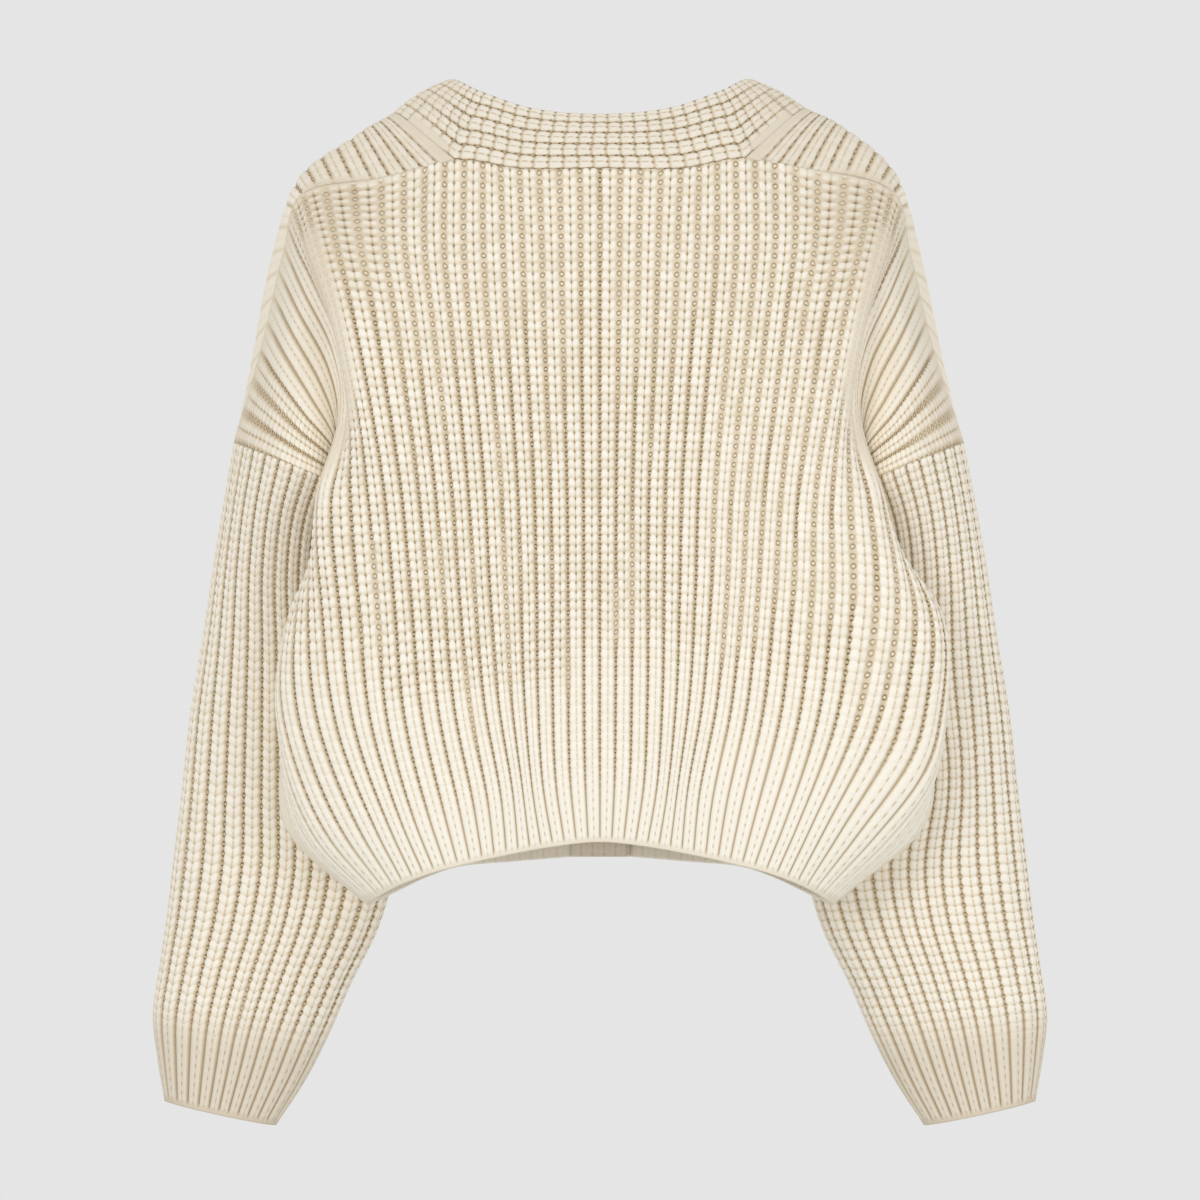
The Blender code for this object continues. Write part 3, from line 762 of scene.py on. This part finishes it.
def reckon(tree, known, steps):
    """Works through steps of arithmetic: a name, an operation and its values. RAMP rises smoothly from 0
    at its second value to 1 at its third."""
    for name, operation, *values in steps:
        values = [known[v] if isinstance(v, str) else v for v in values]
        if operation == "RAMP":
            ramp = dict(zip(("Value", "From Min", "From Max"), values))
            node = add(tree, "ShaderNodeMapRange", ramp, interpolation_type="SMOOTHSTEP")
        else:
            node = add(tree, "ShaderNodeMath", enumerate(values), operation=operation)
        known[name] = node.outputs[0]
    return known


# From a place in the knit to its tone, which carries painted shade, and to the height of the surface
# there.
KNIT_STEPS = (
    # Across the rib: t goes from 0.5 in the furrow on its right to -0.5 in the one on its left. A rib has
    # two columns of stitches, each rounded: puff is 0 in the middle of a stitch and 1 at its sides.
    ("u_part", "FRACT", "u"),
    ("t_plain", "SUBTRACT", 0.5, "u_part"),
    ("x_plain", "ABSOLUTE", "t_plain"),
    ("knotty", "SUBTRACT", 1, "plain"),
    ("detail", "SUBTRACT", 1, "calm"),
    ("puff_side", "MULTIPLY_ADD", "x_plain", STITCH, -1),
    ("puff", "MULTIPLY", "puff_side", "puff_side"),
    # Down the row: y is 0 in the middle of a stitch and 1 between two. Each stitch arches over the one
    # above it, and vee tilts them.
    ("arc", "MULTIPLY", "knotty", -ARC),
    ("v_arched", "MULTIPLY_ADD", "puff", "arc", "v"),
    ("v_lean", "MULTIPLY_ADD", "x_plain", "vee", "v_arched"),
    ("s", "FRACT", "v_lean"),
    ("y_side", "MULTIPLY_ADD", "s", 2, -1),
    ("y", "ABSOLUTE", "y_side"),
    ("fading_start", "MULTIPLY_ADD", "thin", 0.26, 0.5),
    ("fading", "RAMP", "s", "fading_start", 1.05),
    ("arising", "RAMP", "s", 0.17, 0.0),
    ("row", "MAXIMUM", "fading", "arising"),
    ("corner_all", "RAMP", "puff", 0.2, 1.0),
    ("corner", "MULTIPLY_ADD", "corner_all", 0.23, 0.15),
    ("row_corner", "MULTIPLY", "row", "corner"),
    # The rib narrows between two rows.
    ("row_knotty", "MULTIPLY", "row", "rows"),
    ("narrowing", "MULTIPLY_ADD", "row_knotty", -SCALLOP, 1),
    ("t", "DIVIDE", "t_plain", "narrowing"),
    ("x", "ABSOLUTE", "t"),
    ("minus_t", "MULTIPLY", "t", -1),
    # The flanks: the ribs lean, so the right one falls away gently, unless the furrow gapes. Painted shade
    # darkens them.
    ("wide", "RAMP", "open", *GAPES),
    ("right_end", "MULTIPLY_ADD", "wide", -0.14, 0.52),
    ("left_start", "MULTIPLY_ADD", "wide", -0.14, 0.4),
    ("left_end", "MULTIPLY_ADD", "wide", -0.13, 0.5),
    ("right_start", "MULTIPLY_ADD", "thin", 0.2, 0.18),
    ("right", "RAMP", "t", "right_start", "right_end"),
    ("left", "RAMP", "minus_t", "left_start", "left_end"),
    ("flank", "ADD", "right", "left"),
    ("flank_usual", "MULTIPLY_ADD", "thin", 0.02, 0.39),
    ("flank_deep", "MULTIPLY_ADD", "wide", -0.19, "flank_usual"),
    ("flank_shade", "MULTIPLY", "flank", "flank_deep"),
    ("on_top", "SUBTRACT", 1, "flank"),
    ("row_knots", "MULTIPLY", "row_corner", "rows"),
    ("row_part", "MULTIPLY", "row_knots", "on_top"),
    # The crease between the two stitches, deepest between rows, which shows only as dots in a plain rib.
    # Painted shade darkens it.
    ("crease_wide", "RAMP", "x", 0.075, 0.0),
    ("dot", "RAMP", "y", 0.6, 0.2),
    ("crease_knotty", "MULTIPLY_ADD", "row", 0.22, 0.17),
    ("crease_plain", "MULTIPLY", "dot", 0.3),
    ("knotty_2", "MULTIPLY", "knotty", "knotty"),
    ("crease_1", "MULTIPLY", "crease_knotty", "knotty_2"),
    ("crease_2", "MULTIPLY_ADD", "crease_plain", "plain", "crease_1"),
    ("crease", "MULTIPLY", "crease_wide", "crease_2"),
    # An eye in the furrow between two rows: a ring, of which a narrow furrow shows two ends. Painted shade
    # darkens the ring, and the eye's middle is painted lighter.
    ("eye_scale", "MULTIPLY_ADD", "wide", -3.5, 12.5),
    ("off_furrow", "SUBTRACT", 0.5, "x_plain"),
    ("eye_across", "MULTIPLY", "off_furrow", "eye_scale"),
    ("v_eye", "MULTIPLY_ADD", "arc", 1.2, "v"),
    ("v_eye_lean", "MULTIPLY_ADD", "vee", 0.5, "v_eye"),
    ("eye_part", "FRACT", "v_eye_lean"),
    ("eye_side", "MULTIPLY_ADD", "eye_part", 2, -1),
    ("eye_y", "ABSOLUTE", "eye_side"),
    ("eye_own", "MULTIPLY_ADD", "own", 0.6, 1.75),
    ("eye_low", "SUBTRACT", 1, "eye_y"),
    ("eye_down", "MULTIPLY", "eye_low", "eye_own"),
    ("eye_across_2", "MULTIPLY", "eye_across", "eye_across"),
    ("eye_reach_2", "MULTIPLY_ADD", "eye_down", "eye_down", "eye_across_2"),
    ("eye_reach", "SQRT", "eye_reach_2"),
    ("eye_off", "SUBTRACT", "eye_reach", 1),
    ("eye_off_2", "ABSOLUTE", "eye_off"),
    ("eye_ring", "RAMP", "eye_off_2", 0.55, 0.15),
    ("eye_sideways", "DIVIDE", "eye_across_2", "eye_reach_2"),
    ("eye_ends", "MULTIPLY_ADD", "wide", 0.5, -0.8),
    ("eye_shown", "MULTIPLY_ADD", "eye_sideways", "eye_ends", 1),
    ("eye_kept", "RAMP", "plain", 0.9, 0.5),
    ("eye_dark", "MULTIPLY_ADD", "wide", 0.27, -0.66),
    ("eye_1", "MULTIPLY", "eye_ring", "eye_shown"),
    ("eye_strong", "MULTIPLY_ADD", "own", 0.7, 0.6),
    ("eye_kept_own", "MULTIPLY", "eye_kept", "eye_strong"),
    ("eye_2", "MULTIPLY", "eye_1", "eye_kept_own"),
    ("eye", "MULTIPLY", "eye_2", "eye_dark"),
    ("pupil_all", "RAMP", "eye_reach", 0.8, 0.2),
    ("pupil", "MULTIPLY", "pupil_all", "eye_kept"),
    # Light to dark, as painted shade: 1 on top of a stitch, darker round its sides, at the row edges, in
    # the crease, down the flanks and in the eyes' rings, and lighter in the eyes' middles. Each stitch's
    # own amount and the fibres vary it at random, and smooth cloth takes the calm tone.
    ("dome", "MULTIPLY_ADD", "puff", -0.07, 1),
    ("tone_1", "SUBTRACT", "dome", "flank_shade"),
    ("tone_2", "SUBTRACT", "tone_1", "row_part"),
    ("tone_3", "SUBTRACT", "tone_2", "crease"),
    ("tone_4", "ADD", "eye", "tone_3"),
    ("tone_5", "MULTIPLY_ADD", "pupil", 0.16, "tone_4"),
    ("own_spread", "MULTIPLY_ADD", "own", 0.09, -0.05),
    ("tone_6", "MULTIPLY_ADD", "own_spread", "knotty", "tone_5"),
    ("tone_7", "SUBTRACT", "tone_6", CALM_TONE),
    ("fibre_tone", "MULTIPLY_ADD", "fibres", 0.12, CALM_TONE - 0.06),
    ("tone", "MULTIPLY_ADD", "tone_7", "detail", "fibre_tone"),
    # The surface that the light meets.
    ("height_1", "MULTIPLY_ADD", "flank", -0.5, 1),
    ("height_2", "MULTIPLY_ADD", "row_part", -1.6, "height_1"),
    ("height_3", "SUBTRACT", "height_2", "crease"),
    ("height_4", "MULTIPLY_ADD", "puff", -0.25, "height_3"),
    ("height_5", "MULTIPLY", "height_4", "detail"),
    ("height", "MULTIPLY_ADD", "fibres", 0.3, "height_5"),
)

# The wool's fibres run with the columns. Real ones are some 0.03 mm thick, and they are drawn 0.5 mm thick
# and 2 mm long, so that they show: how many to a rib and to a row.
FIBRE_THICK, FIBRE_LONG = 0.5, 2
FIBRE_SCALE = (RIB_WIDE / FIBRE_THICK, ROW_HIGH / FIBRE_LONG, 1)

# The colour of the wool, painted from shade in the depth of its furrows to the top of its stitches, and
# the grey that multiplies it where painted shade greys the cuffs, collar, bands and shoulders.
WOOL_TONES = (
    (0.0, "796446"), (0.25, "9E8968"), (0.5, "C1AE90"), (0.75, "E1D2B8"), (0.9, "F3E9D6"), (1.0, "FEF8EB"),
)
PAINTED_SHADE_WOOL = "E9E5DF"
STRAND_TONES = ((0.3, "BFAE90"), (0.7, "F4EAD6"))
POLYESTER_TONES = ((0.32, "9C7F5A"), (0.68, "DCCCAE"))


def start_material(name):
    """A new material: itself, its node tree and its shader."""
    material = bpy.data.materials.new(name)
    material.use_nodes = True
    return material, material.node_tree, material.node_tree.nodes["Principled BSDF"]


def set_tones(ramp, tones):
    """Gives a colour ramp its tones: places from 0 to 1 and sRGB hex values."""
    stops = ramp.color_ramp.elements
    stops.remove(stops[0])
    stops[0].position, stops[0].color = tones[0][0], linear(tones[0][1])
    for position, code in tones[1:]:
        stops.new(position).color = linear(code)


def make_wool():
    """Chunky wool yarn, felted a little: matt, with a soft fuzz that lightens its rounded sides."""
    material, tree, shader = start_material("chunky_cream_wool")
    place = add(tree, "ShaderNodeUVMap", uv_map="knit").outputs[0]
    parts = add(tree, "ShaderNodeSeparateXYZ", {0: place})
    known = {"u": parts.outputs[0], "v": parts.outputs[1]}
    for key in KNIT_FIELDS:
        known[key] = add(tree, "ShaderNodeAttribute", attribute_name=key).outputs["Fac"]
    # Each stitch, of which a rib has two columns, has its own amount.
    stitch = add(tree, "ShaderNodeVectorMath", {0: place, 1: (2, 1, 1)}, operation="MULTIPLY").outputs[0]
    stitch = add(tree, "ShaderNodeVectorMath", {0: stitch}, operation="FLOOR").outputs[0]
    known["own"] = add(tree, "ShaderNodeTexWhiteNoise", {"Vector": stitch}).outputs["Value"]
    along = add(tree, "ShaderNodeMapping", {"Vector": place, "Scale": FIBRE_SCALE}).outputs[0]
    fibres = add(tree, "ShaderNodeTexNoise", {"Vector": along, "Scale": 1, "Detail": 3, "Distortion": 0.5})
    known["fibres"] = fibres.outputs[0]
    known = reckon(tree, known, KNIT_STEPS)
    colour = add(tree, "ShaderNodeValToRGB", {0: known["tone"]})
    set_tones(colour, WOOL_TONES)
    # Painted shade: where the last knit field says, the colour is multiplied by a grey. Sockets 6 and 7
    # are the two colours that are multiplied.
    shaded_colour = {"Factor": known["worn"], 6: colour.outputs[0], 7: linear(PAINTED_SHADE_WOOL)}
    shaded_colour = add(tree, "ShaderNodeMix", shaded_colour, data_type="RGBA", blend_type="MULTIPLY")
    bump = add(tree, "ShaderNodeBump", {"Strength": 0.5, "Distance": 1.5 * MM, "Height": known["height"]})
    plug(tree, shader, {
        "Base Color": shaded_colour.outputs[2], "Normal": bump.outputs[0],
        "Roughness": 0.95, "Specular IOR Level": 0.1, "Sheen Weight": 0.05, "Sheen Roughness": 0.5,
    })
    return material


def make_strand_wool():
    """A fine twisted strand of the same wool, as the buttons are sewn on with: matt, and mottled by the
    shade between its plies."""
    material, tree, shader = start_material("sewing_wool")
    ply = 0.45 * MM
    place = add(tree, "ShaderNodeTexCoord").outputs["Object"]
    twist = add(tree, "ShaderNodeTexNoise", {"Vector": place, "Scale": 1 / ply, "Detail": 2}).outputs[0]
    colour = add(tree, "ShaderNodeValToRGB", {0: twist})
    set_tones(colour, STRAND_TONES)
    bump = add(tree, "ShaderNodeBump", {"Strength": 0.4, "Distance": 0.2 * MM, "Height": twist})
    plug(tree, shader, {"Base Color": colour.outputs[0], "Normal": bump.outputs[0], "Roughness": 0.9})
    return material


def make_polyester():
    """Cast polyester, turned and polished: glossy, in the pale, clouded look of horn, with a little
    light in its depth."""
    material, tree, shader = start_material("button_polyester")
    cloud, wear = 8 * MM, 1.4 * MM  # scratches are finer, and are drawn as patches of wear that show
    place = add(tree, "ShaderNodeTexCoord").outputs["Object"]
    clouds = {"Vector": place, "Scale": 1 / cloud, "Detail": 2, "Distortion": 0.7}
    colour = add(tree, "ShaderNodeValToRGB", {0: add(tree, "ShaderNodeTexNoise", clouds).outputs[0]})
    set_tones(colour, POLYESTER_TONES)
    worn = add(tree, "ShaderNodeTexNoise", {"Vector": place, "Scale": 1 / wear, "Detail": 2}).outputs[0]
    rough = add(tree, "ShaderNodeMapRange", {"Value": worn, "To Min": 0.2, "To Max": 0.42}).outputs[0]
    plug(tree, shader, {
        "Base Color": colour.outputs[0], "Roughness": rough,
        "Subsurface Weight": 0.1, "Subsurface Scale": 2 * MM,
    })
    return material


def finish_piece(piece, node, material):
    """Puts the finish on a piece that takes the place of a node."""
    piece.data.materials.append(material)
    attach(piece, "root")
    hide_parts(node)


def plain_mesh(piece, name):
    """A piece's mesh as its modifiers leave it."""
    mesh = bpy.data.meshes.new_from_object(piece.evaluated_get(bpy.context.evaluated_depsgraph_get()))
    mesh.name = name
    return mesh


def button_blank():
    """The turned and drilled button, with its back on z = 0."""
    mesh = bpy.data.meshes.new("button_profile")
    points = [(r * BUTTON_RADIUS * MM, 0, z * BUTTON_THICK * MM) for r, z in BUTTON_PROFILE]
    mesh.from_pydata(points, [(i, i + 1) for i in range(len(points) - 1)], [])
    blank = new_object("button_blank", mesh)
    turn = blank.modifiers.new("turn", "SCREW")
    turn.steps = turn.render_steps = BUTTON_SIDES
    turn.use_merge_vertices, turn.merge_threshold = True, 1e-6
    drill = bmesh.new()
    radius, out = BUTTON_HOLE * MM, Matrix.Translation((BUTTON_HOLE_OUT * MM, 0, 0))
    for i in range(BUTTON_HOLES):
        turned = Matrix.Rotation(math.tau * (i + 0.5) / BUTTON_HOLES, 4, "Z")
        bmesh.ops.create_cone(
            drill, cap_ends=True, segments=HOLE_SIDES, radius1=radius, radius2=radius,
            depth=4 * BUTTON_THICK * MM, matrix=turned @ out,
        )
    holes = new_object("button_holes", bpy.data.meshes.new("button_holes"))
    drill.to_mesh(holes.data)
    drill.free()
    cut = blank.modifiers.new("holes", "BOOLEAN")
    cut.object, cut.operation, cut.solver = holes, "DIFFERENCE", "EXACT"
    made = plain_mesh(blank, "button")
    for tool in (blank, holes):
        bpy.data.objects.remove(tool, do_unlink=True)
    made.shade_smooth()
    made.set_sharp_from_angle(angle=math.radians(35))
    return made


# A strand is flat over the button and dives into a hole at either end: x goes from -1 to 1 along it. The
# strands of a bundle lie side by side, a little higher or lower than one another.
STRAND_STEPS = (
    ("x_2", "MULTIPLY", "x", "x"),
    ("x_6", "POWER", "x_2", 3),
    ("across", "MULTIPLY", "x", "half"),
    ("drop", "MULTIPLY", "x_6", "top"),
    ("rise", "SUBTRACT", "top", "drop"),
    ("height", "MULTIPLY_ADD", "drop", 0.3, "rise"),
    ("pitch", "MULTIPLY", "radius", 1.5),
    ("first", "MULTIPLY", "half", -1),
    ("apart", "MULTIPLY", "half", 2),
    ("loose", "MULTIPLY", "radius", 0.9),
    ("tight", "MULTIPLY", "loose", -1),
)
STRAND_SOCKETS = {
    "Half span": "Float", "Top": "Float", "Strand radius": "Float", "Strands": "Int", "Seed": "Int",
}


def strands_tree(material):
    """Geometry nodes for the strands that hold a four-hole button: two bundles, each over two holes."""
    tree = bpy.data.node_groups.new("button_strands", "GeometryNodeTree")
    sockets = tree.interface
    sockets.new_socket("Geometry", in_out="OUTPUT", socket_type="NodeSocketGeometry")
    for name, kind in STRAND_SOCKETS.items():
        sockets.new_socket(name, in_out="INPUT", socket_type="NodeSocket" + kind)
    given = add(tree, "NodeGroupInput").outputs
    line = {"Start": (-1, 0, 0), "End": (1, 0, 0)}
    line = add(tree, "GeometryNodeCurvePrimitiveLine", line).outputs[0]
    line = {"Curve": line, "Count": STRAND_POINTS}
    line = add(tree, "GeometryNodeResampleCurve", line).outputs[0]
    position = add(tree, "GeometryNodeInputPosition").outputs[0]
    known = {
        "x": add(tree, "ShaderNodeSeparateXYZ", {0: position}).outputs[0],
        "half": given["Half span"], "top": given["Top"], "radius": given["Strand radius"],
    }
    known = reckon(tree, known, STRAND_STEPS)
    arched = add(tree, "ShaderNodeCombineXYZ", {0: known["across"], 2: known["height"]}).outputs[0]
    line = add(tree, "GeometryNodeSetPosition", {"Geometry": line, "Position": arched}).outputs[0]
    ring = {"Resolution": STRAND_SIDES, "Radius": given["Strand radius"]}
    ring = add(tree, "GeometryNodeCurvePrimitiveCircle", ring).outputs[0]
    swept = {"Curve": line, "Profile Curve": ring, "Fill Caps": True}
    strand = add(tree, "GeometryNodeCurveToMesh", swept).outputs[0]
    strand = add(tree, "GeometryNodeSetShadeSmooth", {0: strand}).outputs[0]
    step = add(tree, "ShaderNodeCombineXYZ", {1: known["pitch"]}).outputs[0]
    row = add(tree, "GeometryNodeMeshLine", {"Count": given["Strands"], "Offset": step}).outputs[0]
    strays = {2: known["tight"], 3: known["loose"], "Seed": given["Seed"]}
    stray = add(tree, "FunctionNodeRandomValue", strays).outputs[1]
    stray = add(tree, "ShaderNodeCombineXYZ", {2: stray}).outputs[0]
    row = add(tree, "GeometryNodeSetPosition", {"Geometry": row, "Offset": stray}).outputs[0]
    bundle = add(tree, "GeometryNodeInstanceOnPoints", {"Points": row, "Instance": strand}).outputs[0]
    start = add(tree, "ShaderNodeCombineXYZ", {1: known["first"]}).outputs[0]
    step = add(tree, "ShaderNodeCombineXYZ", {1: known["apart"]}).outputs[0]
    pair = {"Count": 2, "Start Location": start, "Offset": step}
    pair = add(tree, "GeometryNodeMeshLine", pair).outputs[0]
    both = add(tree, "GeometryNodeInstanceOnPoints", {"Points": pair, "Instance": bundle}).outputs[0]
    both = add(tree, "GeometryNodeRealizeInstances", {0: both}).outputs[0]
    both = add(tree, "GeometryNodeSetMaterial", {"Geometry": both, "Material": material}).outputs[0]
    tree.links.new(both, add(tree, "NodeGroupOutput").inputs[0])
    return tree


def make_strands(tree, number):
    """The strands of one button, before they go to its place."""
    piece = new_object(f"button_{number}_strands", bpy.data.meshes.new("strands"))
    sewing = piece.modifiers.new("sewing", "NODES")
    sewing.node_group = tree
    sizes = {
        "Half span": BUTTON_HOLE_OUT * math.sqrt(0.5) * MM,  # half the way from a hole to the next
        "Top": (BUTTON_DISH * BUTTON_THICK + STRAND_ABOVE) * MM,
        "Strand radius": STRAND_RADIUS * MM, "Strands": STRANDS, "Seed": number,
    }
    for socket in tree.interface.items_tree:
        if socket.name in sizes:
            sewing[socket.identifier] = sizes[socket.name]
    mesh = plain_mesh(piece, piece.name)
    piece.modifiers.clear()
    piece.data = mesh
    return piece


def button_place(node):
    """Where a button's middle of back is and which way it faces."""
    corners = np.array([tuple(v.co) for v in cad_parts[node].data.vertices])
    middle = corners.mean(axis=0)
    facing = np.linalg.svd(corners - middle, full_matrices=False)[2][2]
    facing = Vector(facing if facing[1] < 0 else -facing)
    low = min((Vector(c) - Vector(middle)).dot(facing) for c in corners)
    place = Matrix.Translation(Vector(middle) + facing * low)
    return place @ facing.to_track_quat("Z", "Y").to_matrix().to_4x4()


# The studio, in metres. The camera stands far off, to flatten the depth, and level with the middle of
# the back.
MIDDLE = -0.2782
CAMERA_AWAY, SENSOR, LENS = 6.0, 36, 276.9
LIGHTS = (  # place, size and power
    ("key", (1.6, 4.6, 0.6), 1.4, 45),
    ("low", (-1.1, 1.7, -0.8), 0.8, 5),
    ("front_fill", (-1.8, -4.6, 1.0), 1.6, 40),
)
LIT_HEIGHT = -0.28  # where the lights point
ROOM_COLOUR, ROOM_LIGHT = "E5E5E5", 1
PAPER_COLOUR = "D6D6D4"
FLOOR_RADIUS, FLOOR_HEIGHT = 3.5, -1.4


def make_camera():
    """Straight behind the wearer."""
    data = bpy.data.cameras.new("camera")
    data.sensor_width, data.lens = SENSOR, LENS
    data.clip_start, data.clip_end = 0.1, 40
    camera = new_object("camera", data)
    camera.location = (0, CAMERA_AWAY, MIDDLE)
    camera.rotation_euler = (math.radians(90), 0, math.radians(180))
    bpy.context.scene.camera = camera


def make_floor():
    """A plain pale floor of rolled paper, matt, below the view."""
    disc = bmesh.new()
    place = Matrix.Translation((0, 0, FLOOR_HEIGHT))
    bmesh.ops.create_circle(disc, cap_ends=True, segments=96, radius=FLOOR_RADIUS, matrix=place)
    mesh = bpy.data.meshes.new("floor")
    disc.to_mesh(mesh)
    disc.free()
    paper, tree, shader = start_material("studio_paper")
    plug(tree, shader, {"Base Color": linear(PAPER_COLOUR), "Roughness": 1})
    mesh.materials.append(paper)
    floor = new_object("floor", mesh)


def make_lights():
    """Large soft lights in a plain pale room."""
    for name, place, size, power in LIGHTS:
        light = bpy.data.lights.new(name, "AREA")
        light.size, light.energy = size, power
        lamp = new_object(name, light)
        lamp.location = place
        towards = Vector((0, 0, LIT_HEIGHT)) - lamp.location
        lamp.rotation_euler = towards.to_track_quat("-Z", "Y").to_euler()
    world = bpy.data.worlds.new("room")
    world.use_nodes = True
    tree = world.node_tree
    plug(tree, tree.nodes["Background"], {"Color": linear(ROOM_COLOUR), "Strength": ROOM_LIGHT})
    bpy.context.scene.world = world
    bpy.context.scene.view_settings.view_transform = "Standard"


wool = make_wool()
pieces = {
    "back": make_back(),
    "front_left": make_front(1),
    "front_right": make_front(-1),
    "sleeve_left": make_sleeve(1),
    "sleeve_right": make_sleeve(-1),
    "collar": make_strip("collar_knit", -NECK_RIB - COLLAR_END, NECK_RIB + COLLAR_END),
    "band_left": make_strip("band_left_knit", NECK_RIB + COLLAR_END, NECK_RIB + HEM),
    "band_right": make_strip("band_right_knit", -NECK_RIB - HEM, -NECK_RIB - COLLAR_END),
}
for node, piece in pieces.items():
    finish_piece(piece, node, wool)
    width, length, area, joined = CUTS[node]
    joined = [pieces[name] for name in joined]

blank, polyester, sewing_wool = button_blank(), make_polyester(), make_strand_wool()
strands = strands_tree(sewing_wool)
for number in range(1, BUTTONS + 1):
    place = button_place(f"button_{number}")
    button = new_object(f"button_{number}_turned", blank.copy())
    button.data.transform(place)
    finish_piece(button, f"button_{number}", polyester)
    strand = make_strands(strands, number)
    strand.data.transform(place)
    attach(strand, "root")

make_camera()
make_floor()
make_lights()
